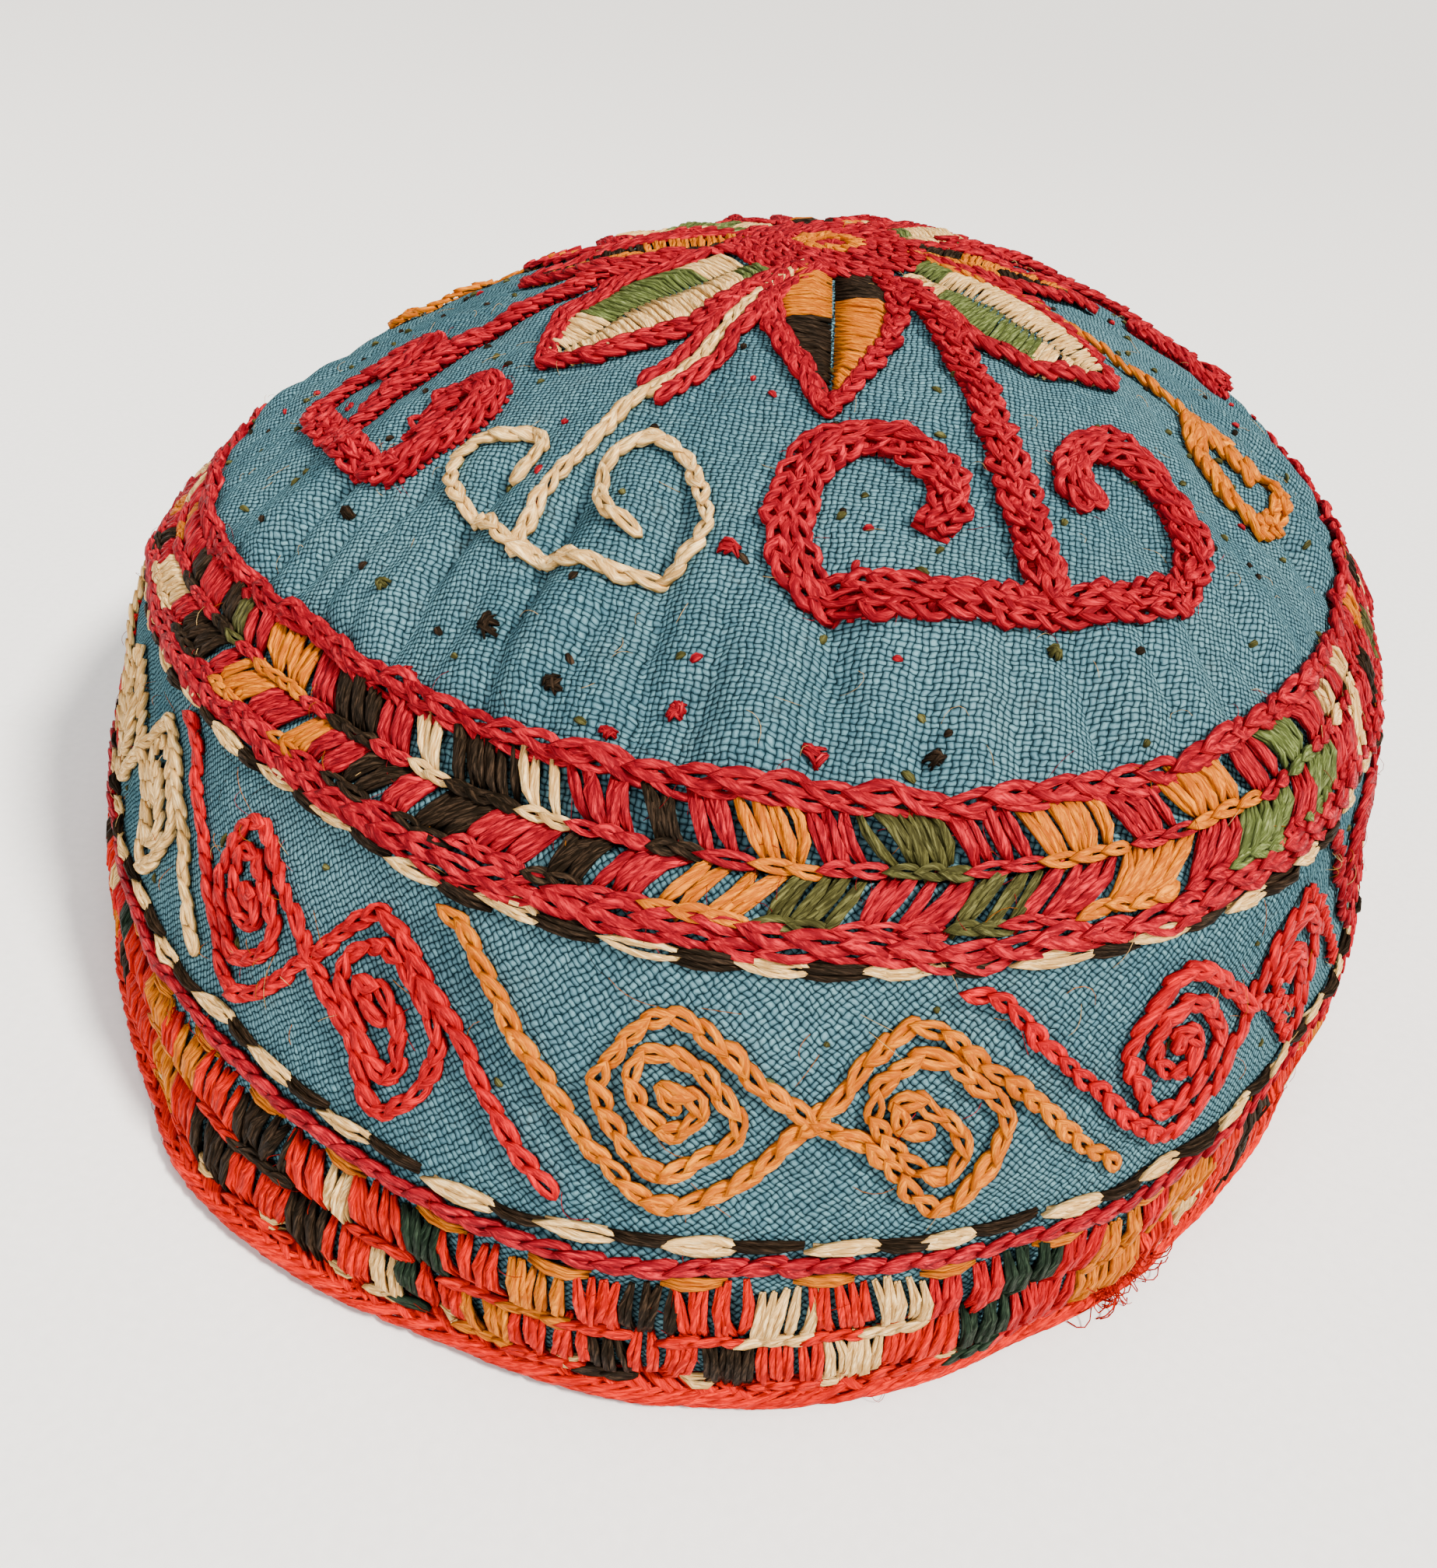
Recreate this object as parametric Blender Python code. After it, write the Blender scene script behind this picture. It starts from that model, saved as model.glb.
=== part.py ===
"""Embroidered skullcap: a low quilted-cotton dome on a leaning side wall, with raised embroidery bands.

Every piece is a thin solid that follows one surface. A place on that surface is an angle round the cap
(degrees, 0 along +X, the front of the cap at -90) and a station: the distance in millimetres from the
rim, up the wall and over the crown to its centre. An offset is measured outwards from the cloth.
"""
import math

import bmesh
import bpy
import numpy as np

MM = 0.001

# Mean profile of the cloth's outside, from the rim up: name, radius and height in mm
PROFILE = (
    ("rim", 86.2, 0.0),
    ("hem_seam", 85.0, 17.0),
    ("wall_top", 77.2, 39.4),
    ("crown_seam", 69.5, 47.1),
)
CROWN_RISE = 23.8
CROWN_POWER = 2.15
CORNER_BLEND = 2.5
PROFILE_STEP = 0.25

# Plan of the cap as waves round the circle: count, direction in degrees, share at the rim, share at the top
PLAN_WAVES = (
    (2, 87.0, 0.077, 0.163),
    (3, 17.0, 0.047, -0.041),
    (4, -35.0, -0.014, -0.037),
)
FRONT = -90.0
SIDE_EASE = 0.2
TOP_TILT = (0.077, -0.022)

# Soft dents and swellings of the cloth: name, angle, half width (degrees), station, half height, push (mm)
DENTS = (
    ("front_fold", -96.0, 6.0, 28.0, 22.0, 1.3),
    ("front_hollow", -81.0, 6.0, 42.0, 9.0, -1.3),
    ("seam_hollow_left", -121.0, 6.0, 50.0, 5.0, -1.0),
    ("rim_swell_left", -118.0, 6.0, 0.0, 7.0, 1.8),
    ("rim_hollow_left", -101.0, 5.0, 0.0, 7.0, -1.2),
    ("rim_hollow_right", -72.0, 4.0, 0.0, 7.0, -0.9),
    ("back_fold", 92.0, 7.0, 28.0, 22.0, 1.4),
    ("wall_sag_left", 165.0, 16.0, 28.0, 9.0, -1.0),
    ("wall_sag_right", 14.0, 18.0, 28.0, 9.0, -0.9),
    ("wall_swell_back", 128.0, 12.0, 20.0, 12.0, 0.8),
)

# Gathers that the crown's seam draws up in the cloth above it
GATHER_COUNT = 20
GATHER_DEPTH = 0.6
GATHER_FROM = 53.0
GATHER_TO = 68.0

CLOTH = 2.2
GAP = 0.3
RELIEF = 0.9

# Stations of the rows of points on the cloth's outside, which the bands over it share
WALL_ROWS = (3.8, 7.0, 10.5, 14.0, 17.0, 23.0, 30.0, 36.0, 39.5, 41.8, 44.0, 46.4)
CROWN_ROWS = (46.7, 49.3, 52.2, 55.0, 58.0, 62.0, 67.0, 73.0, 81.0, 90.0, 100.0, 110.0, 119.0)
SEAM_BAND = (41.8, 52.2)
HEM_BAND = (3.8, 17.0)
BAND_EDGE = 1.2
FOOT_HEIGHT = 3.35
CORD_HALF_WIDTH = 2.0
CORD_HALF_HEIGHT = 1.65
CORD_CENTRE = (-0.7, 1.45)

CROWN_SIDES = 80
WALL_SIDES = 72
CORD_SIDES = 8

# Rosette on the crown: eight pointed petals round its centre
PETALS = 8
PETAL_AXIS = -88.0
PETAL_LENGTH = 37.0
PETAL_WAIST = 14.0
PETAL_STEPS = 6

# Ram's-horn scroll: across its axis and outwards from the crown's centre, in mm
HORN_PATH = (
    (-6.0, 52.4),
    (-3.4, 50.1),
    (-3.0, 45.2),
    (-5.2, 41.2),
    (-9.0, 40.4),
    (-12.6, 43.2),
    (-14.9, 48.2),
    (-15.7, 53.2),
    (-15.1, 57.3),
    (-10.1, 59.1),
    (-4.1, 60.4),
    (1.9, 61.7),
    (8.7, 62.8),
    (14.9, 62.3),
    (18.5, 58.7),
    (19.1, 53.7),
    (18.1, 48.8),
    (14.7, 45.4),
    (10.5, 44.3),
    (7.8, 46.8),
    (7.3, 50.2),
    (8.2, 52.7),
)
HORN_WIDTH = 4.0
STEM_FOOT = 58.0
STEM_HEAD = 24.5
STEM_ACROSS = 1.0
STEM_LEAN = 2.4

# The four crimson scrolls: direction of the axis in degrees, and 1 or -1 where the scroll is mirrored
SCROLLS = (
    ("front", -72.0, 1),
    ("left", -147.0, -1),
    ("back", 108.0, 1),
    ("right", 20.0, 1),
)


def cloth_profile():
    """Stations, radii and heights of the mean profile, its corners eased over CORNER_BLEND."""
    seam_radius, seam_height = PROFILE[-1][1:]
    rows = [row[1:] for row in PROFILE]
    for share in np.linspace(0, 1, 61)[1:]:
        radius = seam_radius * (1 - share)
        rows.append((radius, seam_height + CROWN_RISE * (1 - (radius / seam_radius) ** CROWN_POWER)))
    rows = np.array(rows)
    along = np.concatenate([[0], np.cumsum(np.hypot(*np.diff(rows, axis=0).T))])
    stations = np.linspace(0, along[-1], int(along[-1] / PROFILE_STEP) + 1)
    reach = int(CORNER_BLEND / PROFILE_STEP)
    kernel = np.ones(2 * reach + 1) / (2 * reach + 1)
    eased = []
    for column in (0, 1):
        values = np.interp(stations, along, rows[:, column])
        before = 2 * values[0] - values[reach:0:-1]
        after = 2 * values[-1] - values[-2:-reach - 2:-1]
        eased.append(np.convolve(np.concatenate([before, values, after]), kernel, "valid"))
    eased[0][-1] = 0
    return stations, eased[0], eased[1]


STATIONS, RADII, HEIGHTS = cloth_profile()
CENTRE = STATIONS[-1]


def gather(angle, station):
    """Height of the gathers, a slightly uneven wave that fades in above the seam and out on the crown."""
    share = np.clip((station - GATHER_FROM) / (GATHER_TO - GATHER_FROM), 0, 1)
    fade = np.sin(math.pi * np.sqrt(share)) ** 2
    wave = np.sin(GATHER_COUNT * angle + 0.9 * np.sin(3 * angle))
    return GATHER_DEPTH * fade * wave


def dent(angle, station):
    """Sum of the named dents and swellings at a place."""
    push = 0.0
    for _, axis, half_width, centre, half_height, depth in DENTS:
        turn = (np.degrees(angle) - axis + 180) % 360 - 180
        push = push + depth * np.exp(-(turn / half_width) ** 2 - ((station - centre) / half_height) ** 2)
    return push


def plan(angle, top):
    """The plan's radius at an angle as a share of the mean, from the rim (top 0) to the crown (top 1).
    It is worked out from the turn away from the front, eased to a halt at the sides; the back mirrors it."""
    from_front = np.degrees(np.arctan2(np.cos(angle), np.abs(np.sin(angle))))
    from_front = from_front * (1 - SIDE_EASE * (from_front / 90) ** 4)
    turn = np.radians(FRONT + from_front)
    share = 1.0
    for count, axis, at_rim, at_top in PLAN_WAVES:
        share = share + (at_rim * (1 - top) + at_top * top) * np.cos(count * (turn - math.radians(axis)))
    return share


def cloth(angle, station):
    """The mean surface in mm, before dents: the plan over the eased profile, tilted towards the top."""
    radius = np.interp(station, STATIONS, RADII)
    height = np.interp(station, STATIONS, HEIGHTS)
    top = np.clip(height / PROFILE[-1][2], 0, 1)
    reach = radius * plan(angle, top)
    x = reach * np.cos(angle)
    y = reach * np.sin(angle)
    return np.stack([x, y, height + (TOP_TILT[0] * x + TOP_TILT[1] * y) * top], -1)


def surface(angle, station, offset=0.0):
    """Point in mm at an angle in radians and a station, offset outwards along the surface's normal."""
    angle, station, offset = np.broadcast_arrays(np.asarray(angle, float), station, offset)
    turn, step = 0.004, 0.3
    near = np.clip(station, step, CENTRE - 0.8)
    round_it = cloth(angle + turn, near) - cloth(angle - turn, near)
    up_it = cloth(angle, near + step) - cloth(angle, near - step)
    normal = np.cross(round_it, up_it)
    normal = normal / np.linalg.norm(normal, axis=-1, keepdims=True)
    push = offset + dent(angle, station) + gather(angle, station)
    return cloth(angle, station) + normal * push[..., None]


def plan_middle():
    """Middle of the box round the rim and the hem band, which the cap's origin lies in."""
    angles = np.linspace(0, 2 * math.pi, 721)
    foot = np.concatenate([surface(angles, station, GAP + RELIEF) for station in (0.0, 7.0, 14.0)])
    return (foot.min(0) + foot.max(0)) / 2 * (1, 1, 0)


MIDDLE = plan_middle()


def on_crown(across, out, axis, offset):
    """Point of a motif on the crown: across and out from its centre in mm, turned to the motif's axis."""
    angle = np.radians(axis) + np.arctan2(across, out)
    return surface(angle, CENTRE - np.hypot(across, out), offset)


def material(name, colour, roughness):
    made = bpy.data.materials.new(name)
    made.use_nodes = True
    shader = made.node_tree.nodes["Principled BSDF"]
    shader.inputs["Base Color"].default_value = (*colour, 1.0)
    shader.inputs["Roughness"].default_value = roughness
    shader.inputs["Metallic"].default_value = 0.0
    made.diffuse_color = (*colour, 1.0)
    return made


def solid(name, rows, closed_rows, closed_ends, look):
    """One closed body from rows of points in mm. closed_rows joins each row's last point to its first;
    closed_ends joins the last row to the first, "points" ends in single points, "caps" in flat ends."""
    mesh = bmesh.new()
    grid = [[mesh.verts.new((point - MIDDLE) * MM) for point in row] for row in rows]
    pairs = list(zip(grid, grid[1:]))
    if closed_ends == "join":
        pairs.append((grid[-1], grid[0]))
    for first, second in pairs:
        longer = max(len(first), len(second))
        for i in range(longer if closed_rows else longer - 1):
            j = (i + 1) % longer
            corners = [first[i % len(first)], first[j % len(first)], second[j % len(second)], second[i % len(second)]]
            mesh.faces.new(list(dict.fromkeys(corners)))
    if closed_ends == "caps":
        mesh.faces.new(grid[0])
        mesh.faces.new(grid[-1])
    bmesh.ops.recalc_face_normals(mesh, faces=mesh.faces)
    data = bpy.data.meshes.new(name)
    mesh.to_mesh(data)
    mesh.free()
    data.shade_smooth()
    data.set_sharp_from_angle(angle=math.radians(50))
    data.materials.append(look)
    made = bpy.data.objects.new(name, data)
    bpy.context.scene.collection.objects.link(made)
    return made


def ring(name, section, sides, look):
    """A ring round the cap: section lists (station, offset) going once round its cross-section.
    Its lowest row, where it has one at the wall's foot, is level and stands just over the rim cord."""
    angles = np.arange(sides) * 2 * math.pi / sides
    rows = [surface(angles, station, offset) for station, offset in section]
    for row, (station, _) in zip(rows, section):
        if station == WALL_ROWS[0]:
            row[:, 2] = FOOT_HEIGHT
    return solid(name, rows, True, "join", look)


def crown_shell(look):
    """The dome: cloth from the seam to the centre, open below, its outside and its inside."""
    angles = np.arange(CROWN_SIDES) * 2 * math.pi / CROWN_SIDES
    inner = (116.0, 98.0, 80.0, 62.0, CROWN_ROWS[0])
    rows = [surface(np.zeros(1), CENTRE, -CLOTH)]
    rows += [surface(angles, station, -CLOTH) for station in inner]
    rows += [surface(angles, station, 0.0) for station in CROWN_ROWS]
    rows.append(surface(np.zeros(1), CENTRE, 0.0))
    return solid("crown", rows, True, "points", look)


def side_wall(look):
    """The leaning side band of cloth, from above the rim cord to the crown's seam."""
    inner = (WALL_ROWS[-1], 39.5, 20.0, WALL_ROWS[0])
    section = [(station, 0.0) for station in WALL_ROWS] + [(station, -CLOTH) for station in inner]
    return ring("side_wall", section, WALL_SIDES, look)


def raised_band(name, low, high, look):
    """An embroidered band that lies on the cloth, thin at its edges and full in its middle."""
    shared = [station for station in WALL_ROWS + CROWN_ROWS if low <= station <= high]
    outside = [(station, GAP + RELIEF) for station in shared[1:-1]]
    edges = [(low, GAP + 0.4 * RELIEF), (low + BAND_EDGE, GAP + RELIEF)]
    far_edges = [(high - BAND_EDGE, GAP + RELIEF), (high, GAP + 0.4 * RELIEF)]
    inside = [(station, GAP) for station in reversed(shared)]
    return ring(name, edges + outside + far_edges + inside, WALL_SIDES, look)


def rim_cord(look):
    """The plaited edging: an oval cord round the bottom edge, flat where it stands."""
    angles = np.arange(WALL_SIDES) * 2 * math.pi / WALL_SIDES
    foot = surface(angles, 0.0)
    outwards = surface(angles, 0.0, 1.0) - foot
    outwards[:, 2] = 0
    outwards /= np.linalg.norm(outwards, axis=1, keepdims=True)
    rows = []
    for side in range(CORD_SIDES):
        turn = (side + 0.5) * 2 * math.pi / CORD_SIDES
        out = CORD_CENTRE[0] + CORD_HALF_WIDTH * math.cos(turn)
        height = max(0.0, CORD_CENTRE[1] + CORD_HALF_HEIGHT * math.sin(turn))
        rows.append(foot * (1, 1, 0) + outwards * out + np.array([0, 0, height]))
    return solid("rim_cord", rows, True, "join", look)


def rosette(look):
    """The flower on the crown's centre: each petal's edge falls from its tip to the waist beside it."""
    steps = PETALS * PETAL_STEPS
    turn = np.arange(steps) / PETAL_STEPS
    from_tip = 2 * np.abs(turn - np.round(turn))
    reach = PETAL_LENGTH - (PETAL_LENGTH - PETAL_WAIST) * from_tip
    angles = np.radians(PETAL_AXIS + turn * 360 / PETALS)
    low, high = GAP, GAP + RELIEF
    rows = [surface(np.zeros(1), CENTRE, low)]
    rows += [surface(angles, CENTRE - reach * share, low) for share in (0.25, 0.5, 0.75, 1.0)]
    rows += [surface(angles, CENTRE - reach * share, high) for share in (1.0, 0.75, 0.5, 0.25)]
    rows.append(surface(np.zeros(1), CENTRE, high))
    return solid("rosette", rows, True, "points", look)


def strip(name, path, axis, hand, look):
    """A raised strip of embroidery along a path of (across, out) places on the crown."""
    path = np.array(path) * (hand, 1)
    along = np.gradient(path, axis=0)
    along /= np.linalg.norm(along, axis=1, keepdims=True)
    aside = np.stack([-along[:, 1], along[:, 0]], 1) * HORN_WIDTH / 2
    rows = []
    for place, side in zip(path, aside):
        section = ((-1.0, GAP), (1.0, GAP), (1.0, GAP + 0.6 * RELIEF), (0.0, GAP + RELIEF), (-1.0, GAP + 0.6 * RELIEF))
        across, out = (place + np.array([[share] for share, _ in section]) * side).T
        rows.append(on_crown(across, out, axis, np.array([offset for _, offset in section])))
    return solid(name, rows, True, "caps", look)


def scroll(name, axis, hand, look):
    """One ram's-horn scroll: the two horns with their base, and the stem that comes down to them."""
    strip("horns_" + name, HORN_PATH, axis, hand, look)
    stem = [(STEM_ACROSS + STEM_LEAN * share, STEM_FOOT + (STEM_HEAD - STEM_FOOT) * share)
            for share in np.linspace(0, 1, 6)]
    strip("stem_" + name, stem, axis, hand, look)


def build():
    blue_cotton = material("blue_cotton", (0.065, 0.225, 0.335), 0.9)
    crimson_thread = material("crimson_thread", (0.34, 0.018, 0.030), 0.7)
    rosette_thread = material("rosette_thread", (0.60, 0.20, 0.03), 0.7)
    hem_thread = material("hem_thread", (0.62, 0.09, 0.025), 0.7)
    cord_thread = material("cord_thread", (0.62, 0.035, 0.015), 0.75)
    crown_shell(blue_cotton)
    side_wall(blue_cotton)
    raised_band("seam_band", *SEAM_BAND, crimson_thread)
    raised_band("hem_band", *HEM_BAND, hem_thread)
    rim_cord(cord_thread)
    rosette(rosette_thread)
    for name, axis, hand in SCROLLS:
        scroll(name, axis, hand, crimson_thread)


for old in list(bpy.data.objects):
    bpy.data.objects.remove(old)
build()
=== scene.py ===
"""Embroidered skullcap: the woven cloth and every stitch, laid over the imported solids.

A place on the cap is an angle round it (0 along +X, the front at -90 degrees) and a station, the distance
in millimetres from the rim up the wall and over the crown to its centre. Two flat charts carry the motifs:
"wall" has x = angle times WALL_RADIUS and y = station; "crown" is seen from above, with x to the right and
y to the back, both measured over the cloth from the crown's centre. Offsets are outwards from the cloth.
"""
import math

import bpy
import numpy as np
from mathutils import Matrix


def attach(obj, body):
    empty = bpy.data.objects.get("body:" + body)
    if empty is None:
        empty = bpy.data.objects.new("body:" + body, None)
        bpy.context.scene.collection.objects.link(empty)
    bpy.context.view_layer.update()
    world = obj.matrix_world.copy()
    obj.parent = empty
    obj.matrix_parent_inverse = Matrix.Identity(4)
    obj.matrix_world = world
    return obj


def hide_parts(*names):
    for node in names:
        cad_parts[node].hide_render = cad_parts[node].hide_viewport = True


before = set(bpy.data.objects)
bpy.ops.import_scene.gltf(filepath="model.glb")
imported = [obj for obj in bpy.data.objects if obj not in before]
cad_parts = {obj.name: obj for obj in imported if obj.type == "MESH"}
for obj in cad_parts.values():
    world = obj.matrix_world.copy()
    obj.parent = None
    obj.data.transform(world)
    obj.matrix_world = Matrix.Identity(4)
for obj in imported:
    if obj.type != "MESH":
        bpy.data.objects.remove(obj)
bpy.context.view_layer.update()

MM = 0.001
RNG = np.random.default_rng(11)

# The cap's surface, the same form as the solids have

# Profile up the wall in mm: radius, height
PROFILE = (
    (86.2, 0.0),  # rim
    (85.0, 17.0),  # seam of the hem band
    (77.2, 39.4),  # top of the wall
    (69.5, 47.1),  # seam of the crown
)
CROWN_RISE = 23.8
CROWN_POWER = 2.15
CORNER_BLEND = 2.5
PROFILE_STEP = 0.25
# Waves of the plan: count round the cap, axis, share of the radius at the rim and at the crown's seam
PLAN_WAVES = (
    (2, 87.0, 0.077, 0.163),
    (3, 17.0, 0.047, -0.041),
    (4, -35.0, -0.014, -0.037),
)
FRONT = -90.0
SIDE_EASE = 0.2
TOP_TILT = (0.077, -0.022)
# Dents: axis and half width in degrees, station and half height, depth in mm
DENTS = (
    (-96.0, 6.0, 28.0, 22.0, 1.3),  # front fold
    (-81.0, 6.0, 42.0, 9.0, -1.3),  # front hollow
    (-121.0, 6.0, 50.0, 5.0, -1.0),  # seam hollow left
    (-118.0, 6.0, 0.0, 7.0, 1.8),  # rim swell left
    (-101.0, 5.0, 0.0, 7.0, -1.2),  # rim hollow left
    (-72.0, 4.0, 0.0, 7.0, -0.9),  # rim hollow right
    (92.0, 7.0, 28.0, 22.0, 1.4),  # back fold
    (165.0, 16.0, 28.0, 9.0, -1.0),  # wall sag left
    (14.0, 18.0, 28.0, 9.0, -0.9),  # wall sag right
    (128.0, 12.0, 20.0, 12.0, 0.8),  # wall swell back
)
GATHER_COUNT = 20
GATHER_DEPTH = 0.6
GATHER_FROM = 53.0
GATHER_TO = 68.0
FOLD_FOOT = 50.5
FINE_FOLD_REACH = 20.0
LONG_FOLD_REACH = 32.0
FOLD_AXIS = -107.0
FOLD_HALF_WIDTH = 30.0
CLOTH = 2.2
GAP = 0.3
RELIEF = 0.9
FOOT_HEIGHT = 3.35
CORD_HALF_WIDTH = 2.0
CORD_HALF_HEIGHT = 1.65
CORD_CENTRE = (-0.7, 1.45)
CORD_SIDES = 12
CORD_STRANDS = 420
WALL_RADIUS = 84.0


def cloth_profile():
    """Stations, radii and heights of the mean profile, its corners eased over CORNER_BLEND."""
    seam_radius, seam_height = PROFILE[-1]
    rows = list(PROFILE)
    for share in np.linspace(0, 1, 61)[1:]:
        radius = seam_radius * (1 - share)
        rows.append((radius, seam_height + CROWN_RISE * (1 - (radius / seam_radius) ** CROWN_POWER)))
    rows = np.array(rows)
    along = np.concatenate([[0], np.cumsum(np.hypot(*np.diff(rows, axis=0).T))])
    stations = np.linspace(0, along[-1], int(along[-1] / PROFILE_STEP) + 1)
    reach = int(CORNER_BLEND / PROFILE_STEP)
    kernel = np.ones(2 * reach + 1) / (2 * reach + 1)
    eased = []
    for column in (0, 1):
        values = np.interp(stations, along, rows[:, column])
        before = 2 * values[0] - values[reach:0:-1]
        after = 2 * values[-1] - values[-2:-reach - 2:-1]
        eased.append(np.convolve(np.concatenate([before, values, after]), kernel, "valid"))
    eased[0][-1] = 0
    return stations, eased[0], eased[1]


STATIONS, RADII, HEIGHTS = cloth_profile()
CENTRE = STATIONS[-1]


def degrees_from(axis, angle):
    """Degrees from an axis to an angle in radians, between -180 and 180."""
    return (np.degrees(angle) - axis + 180) % 360 - 180


def fold(turn):
    """A row of folds: round crests with sharp valleys between them, from -1 to 1."""
    return 2 * np.abs(np.sin(turn / 2)) ** 0.8 - 1


def gather(angle, station):
    """Gathers above the crown's seam: the broad ones of the solids, and finer folds over them."""
    share = np.clip((station - GATHER_FROM) / (GATHER_TO - GATHER_FROM), 0, 1)
    fade = np.sin(math.pi * np.sqrt(share)) ** 2
    broad = np.sin(GATHER_COUNT * angle + 0.9 * np.sin(3 * angle))
    near_seam = np.sin(math.pi * np.clip((station - FOLD_FOOT) / FINE_FOLD_REACH, 0, 1) ** 0.6) ** 1.2
    fine = fold(58 * angle + 2.6 * np.sin(5 * angle) + 0.08 * station * np.sin(2 * angle + 1))
    long_ones = np.sin(math.pi * np.clip((station - FOLD_FOOT) / LONG_FOLD_REACH, 0, 1) ** 0.55)
    middle = fold(33 * angle + 2.2 * np.sin(4 * angle + 2) + 0.06 * station)
    pulled = 0.5 + 0.6 * np.exp(-(degrees_from(FOLD_AXIS, angle) / FOLD_HALF_WIDTH) ** 2)
    pulled = pulled + 0.25 * np.sin(7 * angle + 1.0) * np.sin(3 * angle + 0.4)
    return GATHER_DEPTH * fade * broad + pulled * (1.1 * near_seam * fine + 1.45 * long_ones * middle)


def ripple(angle, station):
    """Soft unevenness of worn cloth, a fraction of a millimetre high."""
    edge = np.clip((CENTRE - station) / 25.0, 0, 1)
    wave = np.sin(9 * angle + 0.11 * station) * np.sin(0.19 * station + 2 * np.sin(3 * angle))
    small = np.sin(23 * angle - 0.21 * station + 1.3) * np.sin(0.47 * station + 3 * np.sin(5 * angle))
    puckers = np.sin(31 * angle + 0.5 * station) * np.sin(0.8 * station + 4 * np.sin(6 * angle))
    return edge * (0.34 * wave + 0.2 * small + 0.1 * puckers)


def dent(angle, station):
    """How far the dents and swells move the cloth, in mm."""
    push = 0.0
    for axis, half_width, centre, half_height, depth in DENTS:
        turn = degrees_from(axis, angle)
        push = push + depth * np.exp(-(turn / half_width) ** 2 - ((station - centre) / half_height) ** 2)
    return push


def plan(angle, top):
    """The plan's radius at an angle as a share of the mean, from the rim (top 0) to the crown (top 1)."""
    from_front = np.degrees(np.arctan2(np.cos(angle), np.abs(np.sin(angle))))
    from_front = from_front * (1 - SIDE_EASE * (from_front / 90) ** 4)
    turn = np.radians(FRONT + from_front)
    share = 1.0
    for count, axis, at_rim, at_top in PLAN_WAVES:
        share = share + (at_rim * (1 - top) + at_top * top) * np.cos(count * (turn - math.radians(axis)))
    return share


def cloth(angle, station):
    """Point in mm on the smooth cloth, before dents and gathers."""
    radius = np.interp(station, STATIONS, RADII)
    height = np.interp(station, STATIONS, HEIGHTS)
    top = np.clip(height / PROFILE[-1][1], 0, 1)
    reach = radius * plan(angle, top)
    x = reach * np.cos(angle)
    y = reach * np.sin(angle)
    return np.stack([x, y, height + (TOP_TILT[0] * x + TOP_TILT[1] * y) * top], -1)


def unit(vectors):
    """The vectors at a length of one."""
    return vectors / np.maximum(np.linalg.norm(vectors, axis=-1, keepdims=True), 1e-9)


def normal_at(angle, station):
    """Outward normal of the smooth cloth."""
    turn, step = 0.004, 0.3
    near = np.clip(station, step, CENTRE - 0.8)
    round_it = cloth(angle + turn, near) - cloth(angle - turn, near)
    up_it = cloth(angle, near + step) - cloth(angle, near - step)
    return unit(np.cross(round_it, up_it))


def surface(angle, station, offset=0.0):
    """Point in mm at an angle in radians and a station, offset outwards along the surface's normal."""
    angle, station, offset = np.broadcast_arrays(np.asarray(angle, float), station, offset)
    push = offset + dent(angle, station) + gather(angle, station) + ripple(angle, station)
    return cloth(angle, station) + normal_at(angle, station) * push[..., None]


def plan_middle():
    """Middle of the box round the rim and the hem band, which the cap's origin lies in."""
    angles = np.linspace(0, 2 * math.pi, 721)
    foot = []
    for station in (0.0, 7.0, 14.0):
        stations = np.full(len(angles), station)
        push = GAP + RELIEF + dent(angles, station)
        foot.append(cloth(angles, stations) + normal_at(angles, stations) * push[:, None])
    foot = np.concatenate(foot)
    return (foot.min(0) + foot.max(0)) / 2 * (1, 1, 0)


MIDDLE = plan_middle()


def chart_angles(chart, xy):
    """Angle and station of places in a chart."""
    if chart == "wall":
        return xy[..., 0] / WALL_RADIUS, xy[..., 1]
    return np.arctan2(xy[..., 1], xy[..., 0]), CENTRE - np.hypot(xy[..., 0], xy[..., 1])


def lift(chart, xy, offset):
    """Points in mm and outward normals of places in a chart."""
    angle, station = chart_angles(chart, np.asarray(xy, float))
    return surface(angle, station, offset), normal_at(angle, station)


def polar(turn, reach):
    """Flat places at an angle in radians and a distance."""
    return np.stack([reach * np.cos(turn), reach * np.sin(turn)], -1)


def turned(points, axis, hand=1):
    """Crown chart places of a motif drawn as (across, out), turned so that out points along the axis."""
    points = np.asarray(points, float)
    across, out = points[..., 0] * hand, points[..., 1]
    return polar(math.radians(axis) + np.arctan2(across, out), np.hypot(across, out))


# Meshes, each part of one as (points in mm, quads, UVs in mm, shades)


def end_faces(points, sides):
    """Corners of the faces that close a tube's first and last section."""
    last = [[0, j + 1, j + 2, min(j + 3, sides - 1)] for j in range(0, sides - 2, 2)]
    first = [[0, 2, 1, 1]] if sides == 3 else [corner[::-1] for corner in last]
    return np.concatenate([first, np.array(last) + (points - 1) * sides])


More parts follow.
